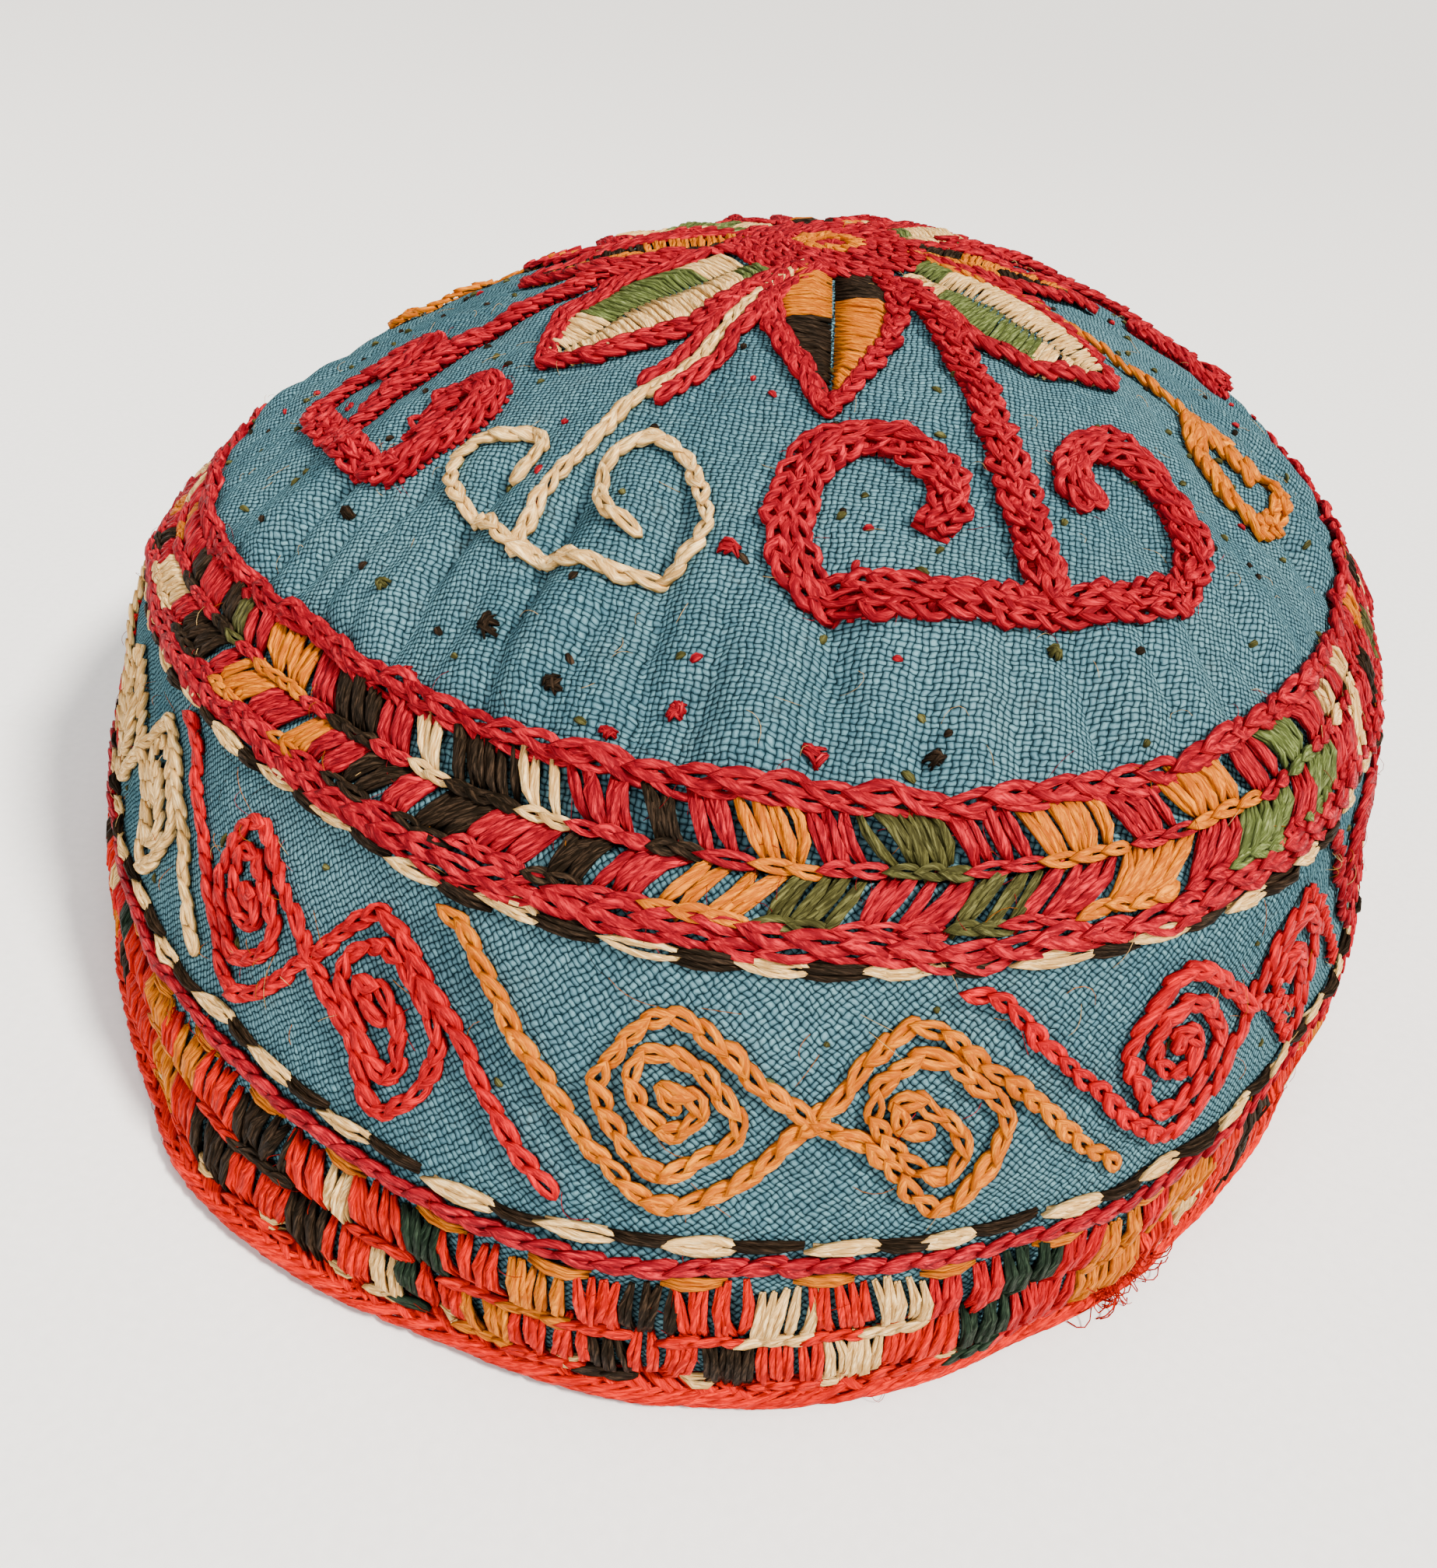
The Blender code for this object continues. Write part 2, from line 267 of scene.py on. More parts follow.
def sweep(paths, ups, half_width, half_height, sides, closed, shade):
    """Threads as tubes: paths (threads, points, 3) in mm, with an oval section of the given half sizes."""
    count, points = paths.shape[:2]
    half_width = np.broadcast_to(half_width, (count, points))
    half_height = np.broadcast_to(half_height, (count, points))
    if closed:
        along = np.roll(paths, -1, 1) - np.roll(paths, 1, 1)
        steps = np.linalg.norm(np.roll(paths, -1, 1) - paths, axis=2)
    else:
        along = np.gradient(paths, axis=1)
        steps = np.linalg.norm(np.diff(paths, axis=1), axis=2)
    length = np.concatenate([np.zeros((count, 1)), np.cumsum(steps, 1)], 1)
    along = unit(along)
    aside = unit(np.cross(along, ups))
    upright = np.cross(aside, along)
    turn = (np.arange(sides) + 0.5) * 2 * math.pi / sides
    verts = (paths[:, :, None] + aside[:, :, None] * (half_width[:, :, None] * np.cos(turn))[..., None]
             + upright[:, :, None] * (half_height[:, :, None] * np.sin(turn))[..., None])
    base = (np.arange(count) * points * sides)[:, None, None]
    row = np.arange(points if closed else points - 1)[None, :, None]
    column = np.arange(sides)[None, None, :]
    here = base + row * sides
    there = base + (row + 1) % points * sides
    after = (column + 1) % sides
    quads = np.stack([here + column, here + after, there + after, there + column], -1).reshape(-1, 4)
    low = np.broadcast_to(length[:, :-1, None], (count, row.size, sides))
    high = np.broadcast_to(length[:, 1:, None], (count, row.size, sides))
    left = np.broadcast_to(column / sides, low.shape)
    right = left + 1 / sides
    uvs = np.stack([np.stack([left, low], -1), np.stack([right, low], -1),
                    np.stack([right, high], -1), np.stack([left, high], -1)], -2).reshape(-1, 4, 2)
    if not closed:
        ends = [base[:, 0] + corner for corner in end_faces(points, sides)]
        quads = np.concatenate([quads] + ends)
        uvs = np.concatenate([uvs, np.zeros((count * len(ends), 4, 2))])
    return verts.reshape(-1, 3), quads, uvs, np.repeat(shade, points * sides)


def ring_quads(rows, columns):
    """Faces between rows of points, each closed on itself, with the last row joined to the first."""
    row, column = np.arange(rows)[:, None], np.arange(columns)[None, :]
    after = (column + 1) % columns
    here, there = row * columns, (row + 1) % rows * columns
    return np.stack([here + column, here + after, there + after, there + column], -1).reshape(-1, 4)


def grid(angles, stations, offsets, uv_of):
    """A closed cloth shell: rows of points all round at each station, the last row joined to the first."""
    verts = np.concatenate([surface(angles, np.full(len(angles), station), offset)
                            for station, offset in zip(stations, offsets)])
    count, sides = len(stations), len(angles)
    rows, columns = np.divmod(np.arange(count * sides), sides)
    nexts = (rows + 1) % count
    steps = np.append(angles, angles[0] + 2 * math.pi)
    uvs = np.stack([uv_of(steps[columns], stations[rows]), uv_of(steps[columns + 1], stations[rows]),
                    uv_of(steps[columns + 1], stations[nexts]), uv_of(steps[columns], stations[nexts])], 1)
    return verts, ring_quads(count, sides), uvs, np.zeros(len(verts))


def piece(name, parts, look, nodes=()):
    """One mesh object made of parts, riding on the cap's body."""
    starts = np.cumsum([0] + [len(part[0]) for part in parts])
    verts = np.concatenate([(part[0] - MIDDLE) * MM for part in parts])
    quads = np.concatenate([part[1] + start for part, start in zip(parts, starts)])
    uvs = np.concatenate([part[2] for part in parts])
    shades = np.concatenate([part[3] for part in parts])
    mesh = bpy.data.meshes.new(name)
    three = quads[:, 3] == quads[:, 2]
    sizes = np.where(three, 3, 4)
    keep = np.ones(quads.shape, bool)
    keep[three, 3] = False
    mesh.vertices.add(len(verts))
    mesh.vertices.foreach_set("co", verts.astype(np.float32).ravel())
    mesh.loops.add(int(sizes.sum()))
    mesh.loops.foreach_set("vertex_index", quads[keep].astype(np.int32))
    mesh.polygons.add(len(quads))
    mesh.polygons.foreach_set("loop_start", np.concatenate([[0], np.cumsum(sizes)[:-1]]).astype(np.int32))
    mesh.polygons.foreach_set("use_smooth", np.ones(len(quads), bool))
    mesh.update(calc_edges=True)
    layer = mesh.uv_layers.new(name="thread")
    layer.data.foreach_set("uv", uvs[keep].astype(np.float32).ravel())
    values = mesh.attributes.new("shade", "FLOAT", "POINT")
    values.data.foreach_set("value", shades.astype(np.float32))
    mesh.validate()
    mesh.materials.append(look)
    made = bpy.data.objects.new(name, mesh)
    bpy.context.scene.collection.objects.link(made)
    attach(made, "root")
    if nodes:
        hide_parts(*nodes)


# Stitches, each a list of mesh parts


def resample(path, pitch):
    """Places along a chart path, evenly spaced at about the pitch."""
    path = np.asarray(path, float)
    reach = np.concatenate([[0], np.cumsum(np.hypot(*np.diff(path, axis=0).T))])
    wanted = np.linspace(0, reach[-1], max(2, int(round(reach[-1] / pitch)) + 1))
    return np.stack([np.interp(wanted, reach, path[:, k]) for k in (0, 1)], 1)


def rounded(path, times):
    """The path with its corners cut, its ends kept."""
    path = np.asarray(path, float)
    for _ in range(times):
        first, second = path[:-1], path[1:]
        cut = np.stack([first * 0.75 + second * 0.25, first * 0.25 + second * 0.75], 1).reshape(-1, 2)
        path = np.vstack([path[:1], cut, path[-1:]])
    return path


# One chain stitch's loop: shares of the pitch along, of the width across and of the thread's height
LINK = np.array([
    (-0.12, 0.00, 1.25),
    (0.16, 0.22, 1.10),
    (0.50, 0.46, 0.80),
    (0.82, 0.46, 0.42),
    (1.06, 0.26, 0.16),
    (1.15, 0.00, 0.10),
    (1.06, -0.26, 0.16),
    (0.82, -0.46, 0.42),
    (0.50, -0.46, 0.80),
    (0.16, -0.22, 1.10),
])


def chain(chart, path, pitch, width, thread, base=0.3, wander=0.12):
    """Chain stitch along a path: one closed teardrop loop a stitch, each coming out of the one before."""
    places = resample(path, pitch)
    places = places + RNG.normal(0, wander, places.shape)
    start, end = places[:-1], places[1:]
    step = end - start
    count = len(start)
    size = np.maximum(np.hypot(*step.T), 0.3)
    along = step / size[:, None]
    aside = np.stack([-along[:, 1], along[:, 0]], 1)
    wide = width * RNG.uniform(0.82, 1.15, count)
    skew = RNG.normal(0, 0.13, count)[:, None] * width
    link_along, link_across, link_height = LINK.T
    forwards = link_along * size[:, None]
    sideways = link_across * wide[:, None] + skew * np.sin(link_along * math.pi)
    xy = start[:, None] + along[:, None] * forwards[..., None] + aside[:, None] * sideways[..., None]
    height = base + link_height * thread * 1.15 + RNG.normal(0, 0.03, (count, 1))
    points, ups = lift(chart, xy, height)
    full = thread * RNG.uniform(0.82, 1.18, (count, 1)) * RNG.uniform(0.88, 1.12, (count, len(LINK)))
    return [sweep(points, ups, full * 1.2, full * 0.95, 4, True, RNG.uniform(0, 1, count))]


BAR_POINTS = 4


def bars(chart, starts, ends, arch=0.6, base=0.3, half_width=0.45, half_height=0.3, bend=0.0, shade=None,
         ply=3, twist=1.6):
    """Satin stitches: one bundle of plies from each start to its end, arched over what lies under it."""
    starts, ends = np.asarray(starts, float), np.asarray(ends, float)
    count, many = len(starts), ply > 1
    t = np.linspace(0, 1, BAR_POINTS)[None, :]
    span = ends - starts
    size = np.hypot(span[:, 0], span[:, 1])[:, None]
    aside = np.stack([-span[:, 1], span[:, 0]], 1) / np.maximum(size, 1e-6)
    bow = bend * RNG.normal(0, 1, (count, 1)) * np.sin(math.pi * t)
    xy = starts[:, None] + span[:, None] * t[..., None] + aside[:, None] * bow[..., None]
    hump = np.sin(math.pi * np.clip(t, 0.02, 0.98)) ** 0.6
    height = base - 0.25 + arch * hump * RNG.uniform(0.8, 1.15, (count, 1))
    taper = 1 - 0.5 * np.abs(2 * t - 1) ** 2.5
    girth = RNG.uniform(0.85, 1.15, (count, 1))
    start_turn = RNG.uniform(0, 2 * math.pi, (count, 1))
    parts = []
    for k in range(ply):
        turn = start_turn + k * 2 * math.pi / ply + twist * t
        out = 0.52 * taper * girth * many
        place = xy + aside[:, None] * (half_width * out * np.cos(turn))[..., None]
        points, ups = lift(chart, place, height + half_height * out * np.sin(turn))
        tones = RNG.uniform(0, 1, count) if shade is None else np.full(count, shade)
        share = 0.62 if many else 1.0
        parts.append(sweep(points, ups, half_width * share * taper * girth,
                           half_height * share * 1.1 * taper * girth, 4 if many else 6, False, tones))
    return parts


def block(left, right, low, high, slant, pitch, draw, **how):
    """Satin stitches side by side on the wall, from the high edge down to the low one, where they draw in."""
    count = max(2, int(round((right - left) / pitch)))
    middle = (left + right) / 2
    x = left + (np.arange(count) + 0.5) * (right - left) / count + RNG.normal(0, 0.1, count)
    foot = middle + (x - middle) * draw
    starts = np.stack([x - slant / 2 + RNG.normal(0, 0.15, count), high + RNG.normal(0, 0.25, count)], 1)
    ends = np.stack([foot + slant / 2 + RNG.normal(0, 0.3, count), low + RNG.normal(0, 0.3, count)], 1)
    return bars("wall", starts, ends, **how)


def hairs(chart, centres, spread, length, rise, thick):
    """Loose fibres: thin curved hairs that stand a little off the cloth near the given places."""
    centres = np.asarray(centres, float)
    count, steps = len(centres), 6
    t = np.linspace(0, 1, steps)[None, :]
    turn = RNG.uniform(0, 2 * math.pi, (count, 1)) + RNG.normal(0, 1.4, (count, 1)) * t
    reach = length * RNG.uniform(0.3, 1.2, (count, 1)) / steps
    xy = (centres + RNG.normal(0, spread, centres.shape))[:, None] + np.cumsum(polar(turn, reach), 1)
    rise = rise * RNG.uniform(0.1, 1.0, (count, 1))
    height = 0.35 + rise * np.sin(math.pi * t * RNG.uniform(0.5, 1, (count, 1)))
    points, ups = lift(chart, xy, height)
    return [sweep(points, ups, thick, thick, 3, False, RNG.uniform(0, 1, count))]


# Materials

WARP_WIDTH = 0.54
WEFT_WIDTH = 0.47


class Nodes:
    """Short names for building a material's node tree."""

    def __init__(self, name):
        self.look = bpy.data.materials.new(name)
        self.look.use_nodes = True
        self.tree = self.look.node_tree
        self.shader = self.tree.nodes["Principled BSDF"]

    def feed(self, socket, value):
        """Link an input to another node's output, or set its value."""
        if isinstance(value, bpy.types.NodeSocket):
            self.tree.links.new(value, socket)
        else:
            socket.default_value = value

    def add(self, kind, inputs=(), out=0, **settings):
        node = self.tree.nodes.new(kind)
        for key, value in settings.items():
            setattr(node, key, value)
        for key, value in dict(inputs).items():
            self.feed(node.inputs[key], value)
        return node.outputs[out]

    def math(self, operation, a, b=0.5, c=0.5):
        return self.add("ShaderNodeMath", {0: a, 1: b, 2: c}, operation=operation)

    def times(self, a, b):
        return self.math("MULTIPLY", a, b)

    def vector(self, x, y, z):
        return self.add("ShaderNodeCombineXYZ", {0: x, 1: y, 2: z})

    def mix(self, share, a, b):
        """Colour b over a by a share."""
        return self.add("ShaderNodeMix", {0: share, 6: (*a, 1) if isinstance(a, tuple) else a, 7: (*b, 1)}, 2,
                        data_type="RGBA")

    def spread(self, value, low, high, to_low=0.0, to_high=1.0):
        return self.add("ShaderNodeMapRange", {0: value, 1: low, 2: high, 3: to_low, 4: to_high})

    def noise(self, vector, scale, detail=2.0, roughness=0.5):
        return self.add("ShaderNodeTexNoise",
                        {"Vector": vector, "Scale": scale, "Detail": detail, "Roughness": roughness})

    def finish(self, colour, height, depth, roughness, strength, specular):
        bump = self.add("ShaderNodeBump", {"Height": height, "Distance": depth, "Strength": strength})
        for key, value in (("Normal", bump), ("Base Color", colour), ("Roughness", roughness),
                           ("Specular IOR Level", specular)):
            self.feed(self.shader.inputs[key], value)
        return self.look


def thread_look(name, painted_shade, mid, painted_highlight, shine=0.5):
    """Embroidery thread: fibres along each strand, a loose twist, and strands that differ in tone.
    The three colours are the painted shade of its creases and of the gaps between fibres, its average colour,
    and the painted highlight where fibres catch the light."""
    n = Nodes(name)
    around = n.add("ShaderNodeSeparateXYZ", {0: n.add("ShaderNodeUVMap", uv_map="thread")})
    along = around.node.outputs[1]
    tone = n.add("ShaderNodeAttribute", out=2, attribute_name="shade")
    twist = n.math("MULTIPLY_ADD", along, 0.10, around)
    fibres = n.noise(n.vector(n.times(twist, 11.0), n.times(along, 0.7), n.times(tone, 37.0)), 1.0, 3.0, 0.65)
    fine = n.spread(fibres, 0.38, 0.66)
    patch = n.noise(n.vector(n.times(around, 1.5), n.times(along, 0.45), n.times(tone, 91.0)), 1.0)
    mixed = n.mix(n.spread(patch, 0.3, 0.62, 0.15, 1.0), painted_shade, mid)
    # painted shade between the fibres, then painted highlight on them
    mixed = n.mix(n.spread(fine, 0.0, 0.5, 0.75, 0.0), mixed, painted_shade)
    mixed = n.mix(n.spread(fine, 0.45, 1.0, 0.0, 0.8), mixed, painted_highlight)
    mixed = n.mix(n.spread(tone, 0.0, 1.0, 0.0, 0.4), mixed, painted_shade)
    rough = n.spread(fibres, 0.3, 0.7, shine + 0.15, shine - 0.1)
    return n.finish(mixed, fibres, 0.0002, rough, 1.0, 0.03)


def cloth_look(name, bias):
    """Coarse plain weave of hand-spun blue cotton, turned by bias degrees, worn and faded unevenly, with
    painted shade in the gaps between its threads and random floats lightened, partly as painted highlight.
    """
    n = Nodes(name)
    uv = n.add("ShaderNodeUVMap", uv_map="thread")
    place = uv
    for scale, reach in ((0.22, 0.8), (0.9, 0.55)):
        wander = n.add("ShaderNodeTexNoise", {"Vector": uv, "Scale": scale, "Detail": 2.0}, out=1)
        wander = n.add("ShaderNodeVectorMath", {0: wander, 1: (0.5, 0.5, 0.5)}, operation="SUBTRACT")
        wander = n.add("ShaderNodeVectorMath", {0: wander, "Scale": reach}, operation="SCALE")
        place = n.add("ShaderNodeVectorMath", {0: place, 1: wander}, operation="ADD")
    place = n.add("ShaderNodeVectorRotate", {"Vector": place, "Angle": math.radians(bias)},
                  rotation_type="Z_AXIS")
    split = n.add("ShaderNodeSeparateXYZ", {0: place})
    across = n.math("DIVIDE", split, WARP_WIDTH)
    up = n.math("DIVIDE", split.node.outputs[1], WEFT_WIDTH)
    columns, rows = n.math("FLOOR", across), n.math("FLOOR", up)
    odd = n.math("FLOORED_MODULO", n.math("ADD", columns, rows), 2.0)
    column_place = n.math("SUBTRACT", n.math("FRACT", across), 0.5)
    row_place = n.math("SUBTRACT", n.math("FRACT", up), 0.5)

    def hump(value, curve):
        """1 in the middle of a thread or a float, less towards its edges."""
        return n.math("SUBTRACT", 1.0, n.times(n.times(value, value), curve))

    warp = n.times(hump(column_place, 3.4), hump(row_place, 1.5))
    weft = n.times(hump(row_place, 3.4), hump(column_place, 1.5))
    weave = n.add("ShaderNodeMix", {0: odd, 2: warp, 3: weft})
    column_tone = n.add("ShaderNodeTexWhiteNoise", {"W": columns}, noise_dimensions="1D")
    row_tone = n.add("ShaderNodeTexWhiteNoise", {"W": n.math("ADD", rows, 0.37)}, noise_dimensions="1D")
    tone = n.add("ShaderNodeMix", {0: odd, 2: column_tone, 3: row_tone})
    cell_tone_and_highlight = n.add("ShaderNodeTexWhiteNoise", {"Vector": n.vector(columns, rows, 0.0)}, noise_dimensions="2D")
    fibre = n.noise(place, 9.0, 3.0, 0.7)
    height = n.times(weave, n.spread(tone, 0.0, 1.0, 0.8, 1.1))
    for noise, share in ((n.noise(place, 0.9, 3.0, 0.6), 0.3), (n.noise(uv, 0.26), 3.2), (fibre, 0.4)):
        height = n.math("MULTIPLY_ADD", noise, share, height)
    fade = n.noise(uv, 0.035, 4.0, 0.6)
    worn = n.noise(uv, 0.16, 3.0, 0.65)
    dirt = n.noise(uv, 0.28, 4.0, 0.7)
    base = n.mix(n.spread(fade, 0.36, 0.64), (0.064, 0.145, 0.172), (0.112, 0.228, 0.258))
    base = n.mix(n.times(n.spread(worn, 0.5, 0.75), 0.4), base, (0.135, 0.225, 0.232))
    base = n.mix(n.times(n.spread(tone, 0.35, 1.0), 0.3), base, (0.040, 0.105, 0.140))
    # random floats made lighter: partly their own tone, partly painted highlight on the raised grains
    base = n.mix(n.times(n.spread(cell_tone_and_highlight, 0.55, 1.0), 0.5), base, (0.160, 0.330, 0.360))
    base = n.mix(n.spread(fibre, 0.35, 0.7, 0.35, 0.0), base, (0.03, 0.07, 0.09))
    # painted shade: where the weave is low, in the gaps between threads, the cloth turns nearly black
    base = n.mix(n.spread(weave, 0.30, 0.93, 1.0, 0.0), base, (0.004, 0.014, 0.019))
    base = n.mix(n.times(n.spread(dirt, 0.6, 0.8), 0.35), base, (0.06, 0.066, 0.056))
    return n.finish(base, height, 0.00032, 0.9, 1.0, 0.0)


# Thread colours: the painted shade of the creases, the average, and the painted highlight where fibres catch
# the light; the dark thread's roughness too
THREADS = {
    "crimson": ((0.085, 0.001, 0.004), (0.300, 0.004, 0.011), (0.60, 0.016, 0.026)),
    "scarlet": ((0.150, 0.0005, 0.003), (0.430, 0.001, 0.005), (0.75, 0.008, 0.013)),
    "orange": ((0.200, 0.001, 0.000), (0.520, 0.003, 0.000), (0.80, 0.018, 0.001)),
    "yellow": ((0.260, 0.048, 0.000), (0.480, 0.130, 0.000), (0.76, 0.245, 0.001)),
    "cream": ((0.340, 0.175, 0.045), (0.700, 0.420, 0.145), (0.98, 0.730, 0.360)),
    "dark": ((0.004, 0.0025, 0.001), (0.016, 0.009, 0.005), (0.055, 0.031, 0.017), 0.55),
    "olive": ((0.018, 0.016, 0.004), (0.056, 0.052, 0.014), (0.130, 0.122, 0.040)),
    "green": ((0.028, 0.036, 0.008), (0.085, 0.110, 0.026), (0.190, 0.220, 0.080)),
    "bottle": ((0.003, 0.006, 0.003), (0.010, 0.020, 0.011), (0.034, 0.052, 0.030)),
}
LOOKS = {colour: thread_look(colour + "_thread", *row) for colour, row in THREADS.items()}

# Where the stitches lie

# Seam band from left to right: where each block starts and its colour. Past the last one they repeat
SEAM_TOP = (
    (-150.0, "crimson"), (-144.0, "dark"), (-140.5, "crimson"), (-135.5, "dark"), (-132.5, "olive"),
    (-130.5, "crimson"), (-127.5, "yellow"), (-121.5, "crimson"), (-118.3, "dark"), (-113.0, "crimson"),
    (-110.2, "cream"), (-107.2, "dark"), (-102.4, "cream"), (-99.4, "crimson"), (-95.2, "dark"),
    (-92.6, "crimson"), (-90.2, "yellow"), (-87.0, "crimson"), (-84.0, "olive"), (-80.0, "crimson"),
    (-76.2, "yellow"), (-71.5, "crimson"), (-67.6, "yellow"), (-62.2, "crimson"), (-59.0, "green"),
    (-55.4, "crimson"), (-50.8, "cream"), (-48.6, "crimson"), (-46.0, "cream"), (-43.0, "crimson"),
)
SEAM_FOOT = (
    (-150.0, "cream"), (-141.0, "crimson"), (-137.5, "dark"), (-131.5, "crimson"), (-128.5, "yellow"),
    (-124.2, "crimson"), (-119.8, "yellow"), (-116.8, "crimson"), (-113.2, "dark"), (-109.8, "crimson"),
    (-107.4, "dark"), (-103.6, "crimson"), (-99.2, "dark"), (-96.2, "crimson"), (-92.8, "yellow"),
    (-88.2, "olive"), (-84.6, "crimson"), (-79.2, "olive"), (-76.0, "crimson"), (-72.4, "yellow"),
    (-66.8, "crimson"), (-63.6, "green"), (-58.8, "crimson"), (-56.0, "green"), (-52.0, "crimson"),
    (-46.5, "cream"), (-43.0, "crimson"),
)
SEAM_REPEAT = (
    (5.5, "crimson"), (4.0, "yellow"), (4.5, "crimson"), (3.5, "dark"), (4.5, "crimson"), (4.2, "olive"),
    (5.0, "crimson"), (3.2, "cream"),
)
# Hem band: the same for its upper and its lower row
HEM_TOP = (
    (-128.0, "orange"), (-126.5, "yellow"), (-123.2, "orange"), (-121.3, "yellow"), (-118.2, "orange"),
    (-115.2, "dark"), (-111.0, "orange"), (-108.2, "cream"), (-106.5, "orange"), (-103.4, "bottle"),
    (-101.0, "orange"), (-97.9, "yellow"), (-95.0, "orange"), (-92.4, "dark"), (-90.2, "orange"),
    (-86.9, "cream"), (-84.0, "orange"), (-81.3, "cream"), (-78.5, "scarlet"), (-75.0, "bottle"),
    (-71.7, "scarlet"), (-69.0, "yellow"), (-66.3, "scarlet"), (-64.0, "yellow"), (-60.0, "orange"),
    (-56.5, "dark"), (-53.0, "orange"),
)
HEM_FOOT = (
    (-128.0, "orange"), (-125.5, "yellow"), (-121.5, "orange"), (-118.8, "dark"), (-114.8, "orange"),
    (-110.6, "dark"), (-108.0, "orange"), (-105.4, "cream"), (-103.8, "bottle"), (-102.8, "orange"),
    (-100.3, "yellow"), (-97.6, "orange"), (-94.0, "dark"), (-92.0, "orange"), (-88.9, "dark"),
    (-86.1, "orange"), (-83.2, "cream"), (-80.2, "orange"), (-76.4, "bottle"), (-73.6, "scarlet"),
    (-69.4, "yellow"), (-64.5, "orange"), (-61.0, "cream"), (-58.5, "orange"), (-54.5, "dark"),
    (-51.5, "orange"),
)
HEM_REPEAT = (
    (3.2, "orange"), (2.7, "yellow"), (3.2, "orange"), (2.4, "dark"), (3.2, "orange"), (2.6, "cream"),
    (3.0, "scarlet"), (2.8, "bottle"),
)

# Double diamond of the wall, its line and its two spirals: degrees from where its line starts, station
WALL_LINE = (
    (0.0, 38.6), (1.8, 38.0), (4.5, 33.4), (8.0, 28.2), (10.5, 24.0), (12.8, 21.3), (15.3, 23.0),
    (17.6, 27.0), (19.2, 30.0), (21.0, 33.6), (22.8, 36.2), (24.8, 35.0), (28.0, 31.0), (29.8, 28.6),
    (32.2, 24.6), (34.6, 21.2),
)
WALL_LEFT = (
    (18.8, 29.2), (16.8, 31.6), (14.8, 34.2), (12.6, 36.6), (11.4, 36.4), (10.2, 33.8), (9.3, 30.9),
    (9.9, 28.2), (11.4, 25.2), (12.8, 24.2), (14.6, 26.0), (16.0, 28.6), (15.4, 30.6), (13.9, 32.6),
    (12.4, 33.8), (11.2, 33.2), (10.9, 30.9), (11.6, 28.4), (13.1, 27.2), (14.2, 29.0), (13.6, 30.8),
    (12.5, 31.4), (12.1, 30.2), (12.9, 29.5),
)
WALL_RIGHT = (
    (18.9, 29.3), (21.0, 28.0), (23.0, 25.0), (24.4, 22.0), (25.3, 20.8), (26.5, 22.6), (27.7, 26.0),
    (28.2, 28.3), (26.6, 31.0), (25.0, 33.4), (23.2, 33.8), (21.6, 32.0), (21.1, 30.0), (22.4, 27.4),
    (24.2, 24.8), (25.6, 24.3), (26.3, 26.2), (25.0, 29.0), (23.4, 30.9), (22.3, 30.0), (23.2, 28.2),
    (24.2, 28.0),
)
WALL_MOTIFS = (
    (-157.0, "cream"), (-130.8, "scarlet"), (-104.2, "yellow"), (-79.2, "scarlet"), (-53.0, "crimson"),
    (-27.0, "cream"), (-1.5, "yellow"), (24.5, "scarlet"), (50.0, "cream"), (75.5, "yellow"),
    (101.0, "scarlet"), (127.0, "crimson"), (152.5, "yellow"), (177.5, "scarlet"),
)

# Ram's-horn scrolls on the crown, as (across, out) about their axis
HORN_PATH = (
    (-6.0, 52.2), (-3.6, 49.8), (-3.3, 45.4), (-5.7, 41.7), (-9.5, 41.0), (-13.2, 43.6), (-15.5, 48.3),
    (-16.3, 52.9), (-15.7, 56.7), (-10.8, 58.4), (-5.0, 59.6), (0.9, 60.8), (7.6, 61.8), (13.7, 61.3),
    (17.1, 58.0), (17.7, 53.4), (16.8, 48.9), (13.7, 45.6), (10.1, 44.6), (7.6, 46.8), (7.1, 49.6),
    (8.0, 51.4),
)
STEM_PATH = ((0.9, 60.0), (1.9, 48.0), (2.9, 34.0), (3.4, 24.5), (3.0, 17.0))
LEFT_HORN_PATH = (
    (-13.5, 53.2), (-10.8, 50.5), (-9.4, 46.8), (-11.8, 44.0), (-14.9, 43.8), (-16.6, 48.0), (-17.4, 53.0),
    (-18.6, 57.0), (-12.5, 58.6), (-5.9, 59.2), (2.0, 59.8), (9.6, 60.2), (10.8, 56.5), (9.6, 50.0),
    (7.0, 44.2), (6.2, 47.0), (7.0, 51.8),
)
LEFT_STEM_PATH = ((-2.5, 57.5), (0.6, 49.0), (1.9, 44.1), (2.7, 30.7), (2.5, 17.0))
SCROLLS = (
    ("front", -72.0, 1, HORN_PATH, STEM_PATH), ("left", -147.0, -1, LEFT_HORN_PATH, LEFT_STEM_PATH),
    ("back", 108.0, 1, HORN_PATH, STEM_PATH), ("right", 20.0, 1, LEFT_HORN_PATH, LEFT_STEM_PATH),
)

# Thin scroll between the thick ones, drawn in the crown chart for the axis at -111 degrees
THIN_STEM = (
    (-1.5, -12.0), (-4.5, -19.0), (-7.2, -28.0), (-9.8, -35.0), (-13.5, -39.0), (-16.5, -44.0),
    (-19.5, -50.0), (-21.0, -57.0),
)
THIN_LEFT = (
    (-15.0, -58.0), (-20.0, -57.0), (-25.0, -54.0), (-29.0, -50.0), (-30.8, -47.0), (-29.5, -44.6),
    (-26.0, -43.4), (-21.8, -43.2), (-21.4, -45.6), (-23.6, -48.6),
)
THIN_RIGHT = (
    (-21.0, -57.0), (-15.0, -58.3), (-9.0, -59.0), (-5.6, -56.2), (-5.8, -51.0), (-7.5, -47.0),
    (-10.0, -44.6), (-13.0, -44.6), (-15.0, -47.0), (-15.0, -51.0), (-13.0, -53.2), (-11.0, -54.6),
)
THIN_AXIS = -111.0
THIN_SCROLLS = ((-111.0, "cream"), (64.0, "cream"), (155.0, "yellow"))

